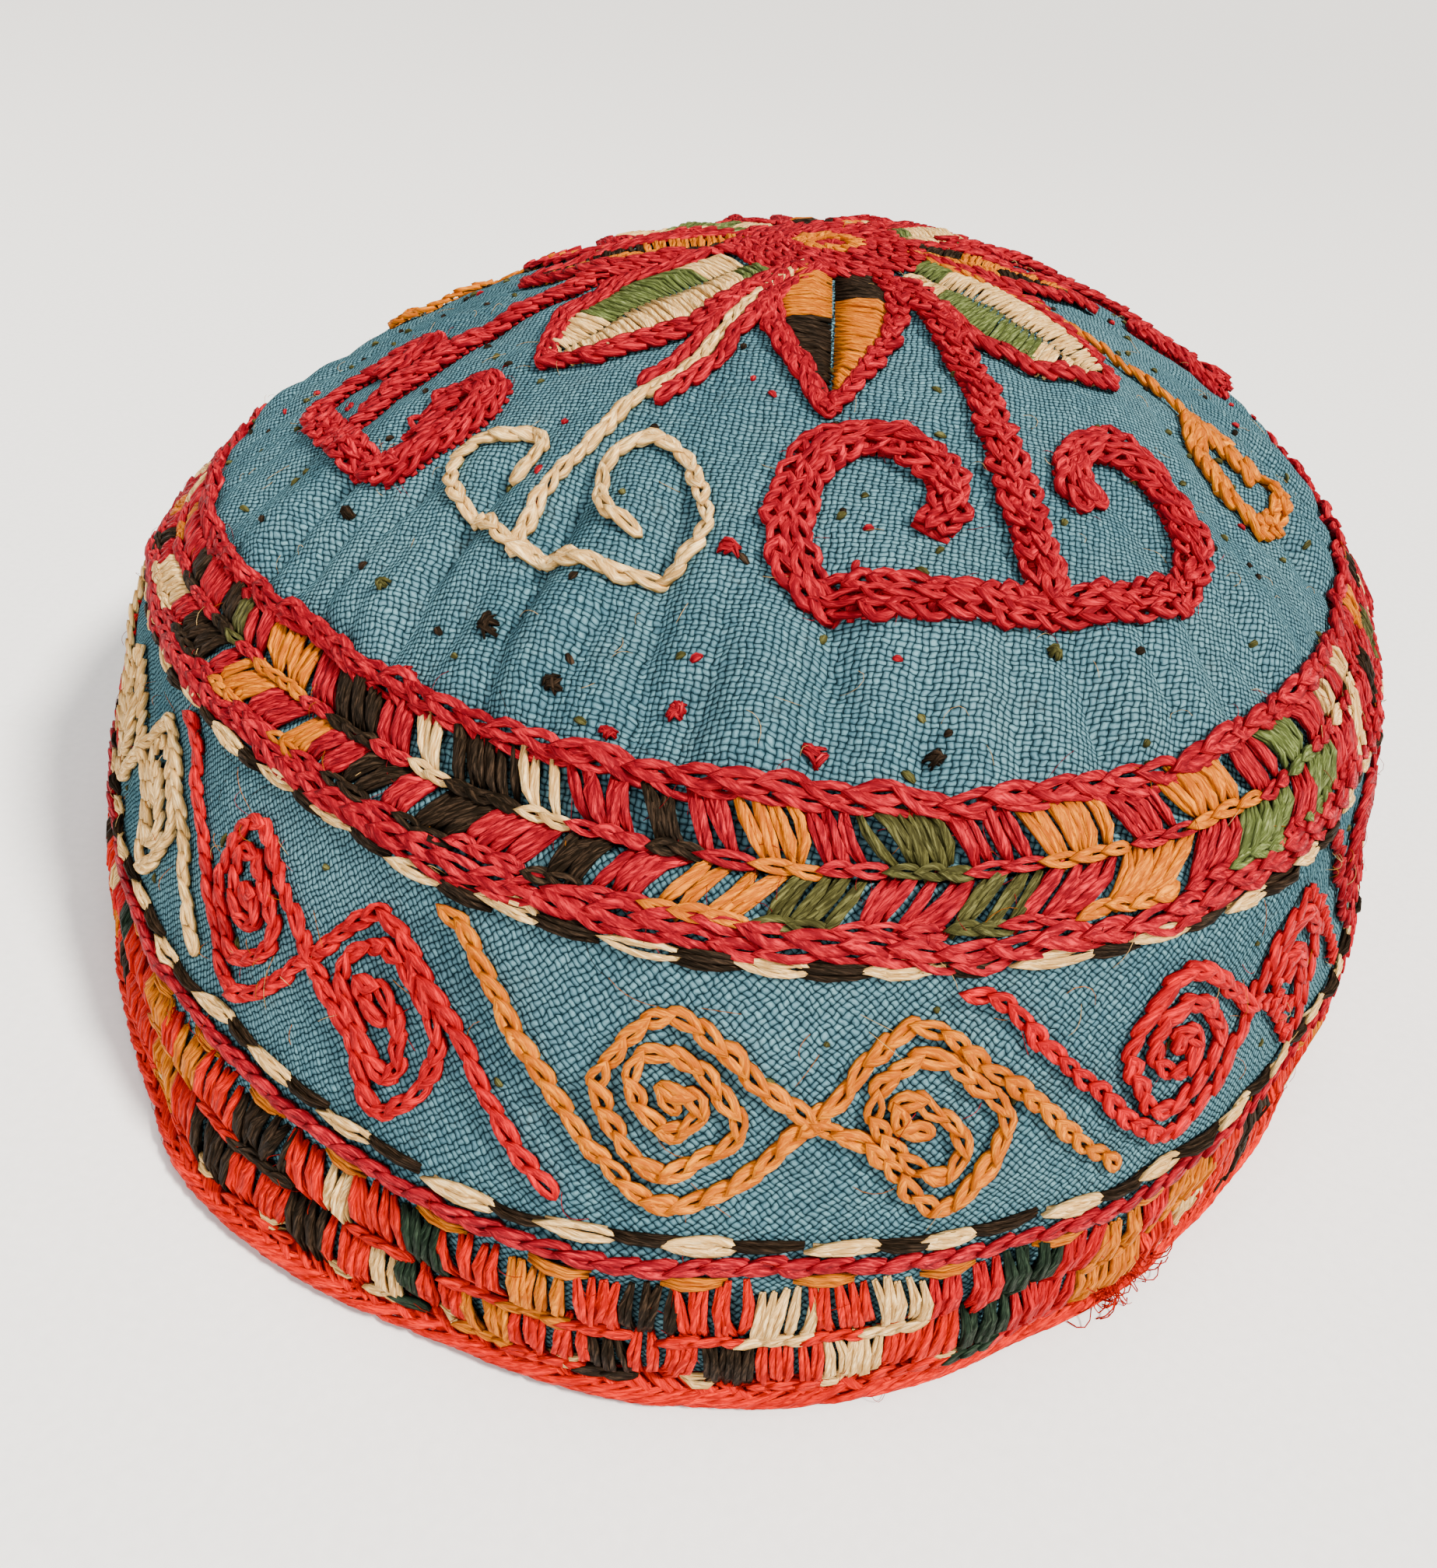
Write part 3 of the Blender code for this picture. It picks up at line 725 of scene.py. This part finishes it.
# Small closed scroll at the right, in the crown chart: its stem, its loop and the tongue in that
RIGHT_STEM = ((12.9, -7.7), (22.0, -12.6), (34.4, -19.2), (40.0, -22.8), (42.8, -27.6))
RIGHT_LOOP = (
    (42.8, -27.6), (42.0, -33.0), (42.4, -38.5), (45.2, -42.8), (50.0, -41.0), (53.5, -36.5), (54.5, -31.5),
    (51.0, -27.6), (46.5, -26.4), (43.0, -28.0),
)
RIGHT_TONGUE = ((44.5, -28.5), (48.0, -30.0), (50.4, -33.6))

# Petals: outline as (across, out), and fills as (side, out from, out to, colour)
LONG_PETAL = ((-4.4, 10.0), (-5.9, 17.0), (-5.2, 25.0), (0.0, 37.0), (5.2, 25.0), (5.9, 17.0), (4.4, 10.0))
WIDE_PETAL = ((-5.8, 14.0), (-8.6, 24.0), (-6.2, 33.0), (0.8, 40.0), (6.6, 34.0), (8.8, 26.0), (6.0, 15.0))
LONG_FILLS = (
    (-1, 9.0, 22.0, "yellow"), (-1, 22.0, 35.0, "dark"), (1, 11.0, 18.0, "dark"), (1, 18.0, 35.0, "yellow"),
)
WIDE_FILLS = (
    (-1, 13.0, 18.0, "cream"), (-1, 18.0, 31.0, "green"), (-1, 31.0, 37.5, "cream"),
    (1, 12.0, 16.0, "green"), (1, 16.0, 37.5, "cream"),
)
PETAL_AXIS = -88.0
ROSETTE_CENTRE = (1.1, -2.5)

# Degrees of the frayed tuft at the rim
FRAY_AXIS = -64.5

# Bigger knots on the front of the crown: x, y, colour, half size
KNOTS = (
    (-21.5, -64.0, "dark", 0.9), (-14.7, -69.0, "dark", 0.6), (-5.5, -69.5, "crimson", 0.6),
    (-10.0, -72.0, "crimson", 0.5), (4.0, -71.5, "crimson", 0.7), (-3.5, -56.0, "crimson", 0.7),
    (20.0, -61.0, "olive", 0.6), (-33.0, -60.0, "olive", 0.5), (12.0, -70.5, "dark", 0.6),
    (-28.0, -68.0, "crimson", 0.5), (31.0, -56.0, "crimson", 0.5), (-41.0, -50.0, "dark", 0.6),
)


def run_on(table, repeat, first):
    """Blocks all round as (start, end, colour): those in the table, then repeated ones back to its start."""
    starts = list(table)
    angle = table[-1][0] + 4.0
    while angle < table[0][0] + 358.0:
        size, colour = repeat[first % len(repeat)]
        starts.append((angle, colour))
        angle += size * float(RNG.uniform(0.85, 1.15))
        first += 1
    ends = [start for start, _ in starts[1:]] + [table[0][0] + 360.0]
    return [(start, end, colour) for (start, colour), end in zip(starts, ends)]


def wall_x(degrees):
    """x in the wall chart."""
    return np.radians(degrees) * WALL_RADIUS


def ring_path(station, wave, start=-150.0):
    """A line round the wall chart at about one station."""
    degrees = np.arange(start, start + 360.01, 2.0)
    drift = wave * np.sin(np.radians(degrees) * 11) + wave * 0.7 * np.sin(np.radians(degrees) * 29 + 1)
    return np.stack([wall_x(degrees), station + drift], 1)


# Parts of the stitches, by group and colour
BASKET = {}

# Pitch and half width of the seam band's threads, where a colour has its own
SEAM_THREADS = {"dark": (0.8, 0.5), "olive": (0.85, 0.5), "cream": (1.25, 0.46)}
HEM_TICKS = 61
HEM_TICK_TURN = 5.9


def put(group, colour, parts):
    BASKET.setdefault((group, colour), []).extend(parts)


def seam_band():
    for table, first, low, high, slant, foot in (
        (SEAM_TOP, 0, 46.9, 51.4, 2.6, 46.9),
        (SEAM_FOOT, 3, 42.6, 47.0, -3.6, 43.0),
    ):
        for start, end, colour in run_on(table, SEAM_REPEAT, first):
            left, right = wall_x(start) + 0.2, wall_x(end) - 0.1
            pitch, half = SEAM_THREADS.get(colour, (1.18, 0.6))
            lean = slant * float(RNG.uniform(0.75, 1.3))
            put("seam", colour, block(left, right, low, high, lean, pitch, float(RNG.uniform(0.6, 1.0)),
                                      arch=0.85, half_width=half, half_height=0.4, bend=0.3))
            edge = np.array([(left, foot), ((left + right) / 2, foot + 0.1), (right, foot)])
            put("seam", colour, chain("wall", edge + (lean / 2, 0), 2.2, 0.7, 0.3, 0.6))
    for station, wave in ((51.9, 0.3), (42.0, 0.35)):
        inner = ring_path(station - 0.7, wave, start=-151.3)
        put("seam", "crimson", chain("wall", ring_path(station, wave), 3.3, 1.1, 0.40, 0.5, 0.2))
        put("seam", "crimson", chain("wall", inner, 3.3, 1.0, 0.36, 0.3, 0.2))


def dashes(station, count, duty, start, group, fat, thin):
    """Cream stitches with dark-brown ones between them, all round."""
    for k in range(count):
        left = start + (k + float(RNG.normal(0, 0.05))) * 360 / count
        span = 360 / count * duty * float(RNG.uniform(0.82, 1.12))
        low = station + float(RNG.normal(0, 0.15))
        first, last = wall_x(left), wall_x(left + span)
        after = wall_x(left + 360 / count)
        tilt = float(RNG.normal(0, 0.25))
        for side in (-1, 1):
            end = (last, low + tilt + side * 0.3 * fat)
            put(group, "cream", bars("wall", [(first, low + side * 0.14)], [end], half_width=0.36 * fat,
                                     bend=0.25, ply=2, twist=0.6))
        line = [(first, low), (last, low + tilt)]
        put(group, "cream", chain("wall", line, last - first, 0.95 * fat, 0.26, 0.3, 0.02))
        for rise in (-0.4, 0.0, 0.4):
            put(group, "dark", bars("wall", [(last - 0.2, low + tilt + rise * thin)],
                                    [(after + 0.2, low + rise * thin)], arch=0.85 - abs(rise),
                                    half_width=0.4 * thin, bend=0.12))


def wall_motifs():
    for start, colour in WALL_MOTIFS:
        for points in (WALL_LINE, WALL_LEFT, WALL_RIGHT):
            path = np.array([(wall_x(start + turn), station) for turn, station in points])
            put("motif", colour, chain("wall", path, 2.05, 0.9, 0.35))


def hem_band():
    put("hem", "crimson", chain("wall", ring_path(16.9, 0.15), 2.3, 0.8, 0.36, 0.35, 0.12))
    for k in range(HEM_TICKS):
        left = -150.0 + k * HEM_TICK_TURN
        put("hem", "yellow", bars("wall", [(wall_x(left), 15.5), (wall_x(left), 15.0)],
                                  [(wall_x(left + 2.9), 15.6), (wall_x(left + 2.8), 15.0)], arch=0.5,
                                  half_width=0.34, half_height=0.26))
    for table, first, low, high in ((HEM_TOP, 0, 9.0, 14.7), (HEM_FOOT, 4, 3.3, 9.3)):
        for start, end, colour in run_on(table, HEM_REPEAT, first):
            left, right = wall_x(start) - 0.1, wall_x(end) + 0.1
            shift = float(RNG.normal(0, 0.25))
            lean = float(RNG.normal(0.5, 0.5))
            draw = float(RNG.uniform(0.82, 1.0))
            put("hem", colour, block(left, right, low + shift, high + shift, lean, 0.9, draw, arch=1.0,
                                     half_width=0.55, half_height=0.42, bend=0.3))
            if RNG.uniform() < 0.6:
                edge = [(left - 0.2, low + 0.2), ((left + right) / 2, low + 0.35), (right + 0.2, low + 0.2)]
                put("hem", colour, chain("wall", edge, 1.6, 0.7, 0.28, 0.55))
    for k in range(HEM_TICKS):
        left = wall_x(-149.0 + k * HEM_TICK_TURN + float(RNG.normal(0, 0.6)))
        put("hem", "cream", bars("wall", [(left, 3.9), (left + 0.4, 3.5)],
                                 [(left + 3.0, 4.6), (left + 3.2, 3.7)], arch=0.7, half_width=0.36,
                                 half_height=0.28, bend=0.2))


def rim_cord():
    """The plaited edging: a core, and slanting strands that meet along its outside like herringbone."""
    angles = np.arange(360) * 2 * math.pi / 360
    foot = surface(angles, 0.0)
    outwards = unit((surface(angles, 0.0, 1.0) - foot) * (1, 1, 0))
    foot = foot * (1, 1, 0)

    def ring_at(rows, where):
        """Values of a ring of 360 points at degrees round the cap."""
        columns = np.append(rows, rows[:1], axis=0).T
        return np.stack([np.interp(where, np.arange(361), column) for column in columns], -1)

    def place(turn, around, grow):
        """Point on the cord at a turn round the cap (0 to 1) and an angle round its section."""
        where = (turn % 1) * 360
        out = ring_at(outwards, where)
        across = CORD_CENTRE[0] + (CORD_HALF_WIDTH - 0.45 + grow) * np.cos(around)
        height = np.maximum(0.12, CORD_CENTRE[1] + (CORD_HALF_HEIGHT - 0.4 + grow) * np.sin(around))
        point = ring_at(foot, where) + out * across[..., None]
        point[..., 2] += height
        up = out * np.cos(around)[..., None]
        up[..., 2] += np.sin(around)
        return point, up

    turn = np.arange(360) / 360
    verts = np.concatenate([place(turn, np.full(360, side * 2 * math.pi / CORD_SIDES), -0.15)[0]
                            for side in range(CORD_SIDES)])
    quads = ring_quads(CORD_SIDES, 360)
    # the core, seen only between the strands, takes a dark tone (0.9): painted shade between the strands
    put("cord", "orange", [(verts, quads, np.zeros((len(quads), 4, 2)), np.full(len(verts), 0.9))])
    t = np.linspace(0, 1, 7)[None, :]
    for low, high, lean in ((-58.0, 48.0, 5.0), (22.0, 150.0, -3.4)):
        first = (np.arange(CORD_STRANDS)[:, None] + RNG.normal(0, 0.2, (CORD_STRANDS, 1))) / CORD_STRANDS
        around = np.radians(low + (high - low) * t + RNG.normal(0, 7, (CORD_STRANDS, 1)))
        points, ups = place(first + lean * t / CORD_STRANDS, around, 0.1 + 0.2 * np.sin(math.pi * t))
        full = 0.5 + 0.5 * np.sin(math.pi * np.clip(t, 0.05, 0.95))
        full = full * RNG.uniform(0.85, 1.15, (CORD_STRANDS, 1))
        tones = RNG.uniform(0, 1, CORD_STRANDS)
        put("cord", "orange", [sweep(points, ups, 0.46 * full, 0.32 * full, 5, False, tones)])


def within(outline, out):
    """Across places of an outline's left and right edge at a distance out."""
    outline = np.array(outline)
    tip = int(np.argmax(outline[:, 1]))
    left, right = outline[:tip + 1], outline[tip:][::-1]
    return np.interp(out, left[:, 1], left[:, 0]), np.interp(out, right[:, 1], right[:, 0])


def petal(points, axis):
    """Crown chart places of a petal's (across, out), about the rosette's own centre."""
    return turned(points, axis) + np.array(ROSETTE_CENTRE)


def rosette():
    for k in range(8):
        axis = PETAL_AXIS + 45 * k
        outline, fills = (LONG_PETAL, LONG_FILLS) if k % 2 == 0 else (WIDE_PETAL, WIDE_FILLS)
        for side, low, high, colour in fills:
            out = np.arange(low + 0.4, high, 0.86)
            left, right = within(outline, out)
            near = left + 0.5 if side < 0 else np.full(len(out), 0.15)
            far = np.full(len(out), -0.15) if side < 0 else right - 0.5
            starts = petal(np.stack([near, out - 0.5 * side], 1), axis)
            ends = petal(np.stack([far, out + 0.5 * side], 1), axis)
            put("rosette", colour, bars("crown", starts, ends, arch=0.62, half_width=0.5, half_height=0.36,
                                        bend=0.2))
        for share, width, thread in (((1.0, 1.0), 1.0, 0.4), ((0.86, 0.985), 0.9, 0.36)):
            line = petal(np.array(outline) * share, axis)
            put("rosette", "crimson", chain("crown", line, 2.1, width, thread, 0.42))
    centre = np.array(ROSETTE_CENTRE)
    for reach, colour, pitch in ((3.2, "yellow", 1.2), (5.0, "crimson", 1.6), (7.0, "crimson", 1.8),
                                 (9.0, "crimson", 1.8), (11.0, "crimson", 1.9)):
        turn = np.linspace(0, 2 * math.pi, 60)
        ring = centre + polar(turn, reach + 0.5 * np.sin(8 * turn))
        put("rosette", colour, chain("crown", ring, pitch, 1.5, 0.36, 0.4))
    turn = np.arange(14) * 2 * math.pi / 14
    put("rosette", "crimson", bars("crown", centre + polar(turn, 2.4), centre - polar(turn, 0.3), arch=0.5))


def beside(path, offset):
    """The path moved sideways in its chart."""
    path = np.asarray(path, float)
    along = unit(np.gradient(path, axis=0))
    return path + np.stack([-along[:, 1], along[:, 0]], 1) * offset


def scrolls():
    """The thick scrolls, each of bars under two rows of chain and one on top, then the thin ones."""
    for name, axis, hand, horns, stem in SCROLLS:
        group = "scroll_" + name
        for points, offset, half in ((horns, 0.95, 1.55), (stem, 0.8, 1.35)):
            path = rounded(points, 2)
            under = resample(path, 0.9)
            left, right = (turned(beside(under, side * half), axis, hand) for side in (-1, 1))
            # the bars under the chains take the darkest tone (shade 1.0): painted shade beneath and between
            # the chain rows
            put(group, "crimson", bars("crown", left, right, arch=0.35, half_width=0.6, half_height=0.25,
                                       ply=1, shade=1.0))
            for side in (-1, 1):
                line = turned(beside(path, side * offset), axis, hand)
                put(group, "crimson", chain("crown", line, 1.8, 1.45, 0.37, 0.5, 0.2))
            put(group, "crimson", chain("crown", turned(path, axis, hand), 2.0, 1.0, 0.34, 0.85, 0.25))
    for axis, colour in THIN_SCROLLS:
        turn = math.radians(axis - THIN_AXIS)
        spin = np.array([(math.cos(turn), math.sin(turn)), (-math.sin(turn), math.cos(turn))])
        for points in (THIN_STEM, THIN_LEFT, THIN_RIGHT):
            path = rounded(np.array(points) @ spin, 1)
            put("thin", colour, chain("crown", path, 2.1, 0.85, 0.36))
            if points is THIN_STEM:
                for offset in (-1.5, 1.5):
                    put("thin", "crimson", chain("crown", beside(path[:9], offset), 2.1, 1.0, 0.42, 0.34))
    put("thin", "yellow", chain("crown", rounded(RIGHT_STEM, 1), 2.1, 0.9, 0.36))
    for points in (RIGHT_LOOP, RIGHT_TONGUE):
        for offset in (-0.6, 0.6):
            put("thin", "yellow", chain("crown", beside(rounded(points, 1), offset), 2.0, 1.0, 0.38))


def flecks():
    """Small knots and stray stitches that show on the cloth, and loose fibres round the embroidery."""
    count = 330
    reach = 79 * np.sqrt(RNG.uniform(0.1, 0.92, count))
    places = polar(RNG.uniform(0, 2 * math.pi, count), reach)
    lean = RNG.uniform(0, 2 * math.pi, count)
    move = polar(lean, RNG.uniform(0.25, 0.6, count))
    for k, colour in enumerate(("olive", "dark", "olive", "dark", "olive", "crimson", "olive")):
        pick = np.arange(count) % 7 == k
        put("flecks", colour, bars("crown", (places - move)[pick], (places + move)[pick], arch=0.22,
                                   base=0.22, half_width=0.34, half_height=0.2, ply=1))
    for x, y, colour, size in KNOTS:
        move = polar(RNG.uniform(0, 2 * math.pi, 6), size)
        place = np.array([x, y]) + RNG.normal(0, 0.3 * size, (6, 2))
        put("flecks", colour, bars("crown", place - move, place + move, half_width=0.3, half_height=0.24,
                                   ply=2))
    count = 90
    places = np.stack([wall_x(RNG.uniform(-180, 180, count)), RNG.uniform(21, 38, count)], 1)
    put("flecks", "olive", bars("wall", places, places + RNG.normal(0, 0.5, places.shape), arch=0.2, base=0.2,
                                half_width=0.28, half_height=0.16, ply=1))
    for colour, low, high, count in (("crimson", 41.5, 52.5, 300), ("orange", 0.5, 15.0, 460),
                                     ("yellow", 22.0, 37.0, 130), ("yellow", 42.0, 50.0, 60),
                                     ("cream", 18.0, 48.0, 150), ("scarlet", 22.0, 37.0, 90),
                                     ("dark", 39.0, 50.0, 90)):
        around = wall_x(RNG.uniform(-180, 180, count))
        places = np.stack([around, RNG.uniform(low, high, count)], 1)
        put("hairs", colour, hairs("wall", places, 0.6, 4.0, 1.2, 0.03))
    reach = 76 * np.sqrt(RNG.uniform(0.0, 1.0, 200))
    places = polar(RNG.uniform(0, 2 * math.pi, 200), reach)
    put("hairs", "cream", hairs("crown", places, 0.5, 3.0, 0.7, 0.025))
    tuft = np.stack([wall_x(RNG.normal(FRAY_AXIS, 0.7, 60)), RNG.uniform(2.2, 4.2, 60)], 1)
    put("hairs", "orange", hairs("wall", tuft, 0.5, 4.5, 2.6, 0.07))
    for _, axis, hand, horns, _ in SCROLLS:
        path = turned(resample(horns, 1.2), axis, hand)
        put("hairs", "crimson", hairs("crown", path, 1.3, 2.2, 1.0, 0.03))


def crown_uv(angle, station):
    return polar(angle, CENTRE - station)


def wall_uv(angle, station):
    return np.stack([angle * WALL_RADIUS, station], -1)


def shell(outside, inside, uv_of):
    """A cloth piece as a closed shell: its outside rows, then the inside rows back."""
    angles = np.arange(480) * 2 * math.pi / 480
    offsets = np.concatenate([np.zeros(len(outside)), np.full(len(inside), -CLOTH)])
    return grid(angles, np.concatenate([outside, inside]), offsets, uv_of)


def cloth_pieces():
    crown = shell(np.concatenate([np.arange(46.7, 70, 0.9), np.arange(70, CENTRE - 1, 2.0), [CENTRE - 0.4]]),
                  [CENTRE - 0.4, 118.0, 108.0, 98.0, 88.0, 78.0, 70.0, 62.0, 54.0, 46.7], crown_uv)
    piece("cloth_crown", [crown], cloth_look("crown_cotton", 4.0), ["crown"])
    wall = shell(np.concatenate([np.arange(3.8, 46.4, 1.1), [46.4]]),
                 [46.4, 42.0, 39.5, 30.0, 20.0, 10.0, 3.8], wall_uv)
    wall[0][:, 2] = np.maximum(wall[0][:, 2], FOOT_HEIGHT)
    piece("cloth_wall", [wall], cloth_look("wall_cotton", 45.0), ["side_wall"])


cloth_pieces()
seam_band()
dashes(40.4, 58, 0.5, -151.5, "dash", 1.0, 1.0)
dashes(18.7, 61, 0.46, -150.0, "dash", 1.15, 0.7)
wall_motifs()
hem_band()
rim_cord()
rosette()
scrolls()
flecks()

# CAD nodes that a piece takes the place of
STANDS_FOR = {
    ("seam", "crimson"): ["seam_band"],
    ("hem", "orange"): ["hem_band"],
    ("cord", "orange"): ["rim_cord"],
    ("rosette", "crimson"): ["rosette"],
    ("scroll_front", "crimson"): ["horns_front", "stem_front"],
    ("scroll_left", "crimson"): ["horns_left", "stem_left"],
    ("scroll_back", "crimson"): ["horns_back", "stem_back"],
    ("scroll_right", "crimson"): ["horns_right", "stem_right"],
}
for (group, colour), parts in BASKET.items():
    piece(group + "_" + colour, parts, LOOKS[colour], STANDS_FOR.get((group, colour), ()))

# Stage: the camera's place in mm and its yaw, pitch and roll in degrees, as fitted to the photo
CAMERA_PLACE = (-0.2155, -159.238, 101.277)
CAMERA_TURN = (-1.206, 33.316, 6.929)
CAMERA_LENS = 30.357
CAMERA_SHIFT = -0.0032

# Lights: name, kind, place, angle or size, power, tint
LIGHTS = (
    ("key", "SUN", (0.52, -0.30, 0.70), math.radians(10), 11.6, (1.0, 0.96, 0.90)),
    ("fill", "AREA", (-0.40, -0.85, 0.36), 0.8, 14.5, (0.97, 0.98, 1.0)),
    ("top", "AREA", (0.05, -0.05, 0.85), 0.5, 5.5, (1.0, 0.98, 0.96)),
)


def facing(right, up, ahead, place):
    """World matrix of a lamp or a camera at a place that looks ahead."""
    return Matrix([(right[k], up[k], -ahead[k], place[k]) for k in range(3)] + [(0, 0, 0, 1)])


def stage():
    bpy.ops.mesh.primitive_plane_add(size=80.0, location=(0, 0, -0.0002))
    floor = bpy.context.object
    floor.name = "floor"
    n = Nodes("floor_paper")
    grain = n.noise(n.add("ShaderNodeTexCoord", out=3), 900.0, 3.0)
    paper = n.mix(n.spread(grain, 0.3, 0.7), (0.72, 0.70, 0.67), (0.76, 0.74, 0.71))
    floor.data.materials.append(n.finish(paper, grain, 0.0001, 0.9, 0.2, 0.2))
    for name, kind, place, size, power, tint in LIGHTS:
        light = bpy.data.lights.new(name, kind)
        if kind == "SUN":
            light.angle = size
        else:
            light.size = size
        light.energy = power
        light.color = tint
        lamp = bpy.data.objects.new(name, light)
        lamp.location = place
        aim = unit(np.array([0, 0, 0.03]) - place)
        side = unit(np.cross(aim, (0, 0, 1)))
        lamp.matrix_world = facing(side, np.cross(side, aim), aim, place)
        bpy.context.scene.collection.objects.link(lamp)
    world = bpy.data.worlds.new("studio")
    world.use_nodes = True
    background = world.node_tree.nodes["Background"]
    background.inputs[0].default_value = (0.85, 0.88, 0.92, 1)
    background.inputs[1].default_value = 0.32
    bpy.context.scene.world = world


def camera():
    yaw, pitch, roll = (math.radians(value) for value in CAMERA_TURN)
    ahead = np.array([math.sin(yaw) * math.cos(pitch), math.cos(yaw) * math.cos(pitch), -math.sin(pitch)])
    level = unit(np.cross(ahead, (0, 0, 1)))
    up = np.cross(level, ahead)
    right = level * math.cos(roll) + up * math.sin(roll)
    upright = -level * math.sin(roll) + up * math.cos(roll)
    lens = bpy.data.cameras.new("camera")
    lens.sensor_fit = "AUTO"
    lens.sensor_width = 36.0
    lens.lens = CAMERA_LENS
    lens.shift_x = CAMERA_SHIFT
    lens.clip_start = 0.005
    lens.clip_end = 100
    made = bpy.data.objects.new("camera", lens)
    made.matrix_world = facing(right, upright, ahead, (np.array(CAMERA_PLACE) - MIDDLE) * MM)
    bpy.context.scene.collection.objects.link(made)
    bpy.context.scene.camera = made


stage()
camera()
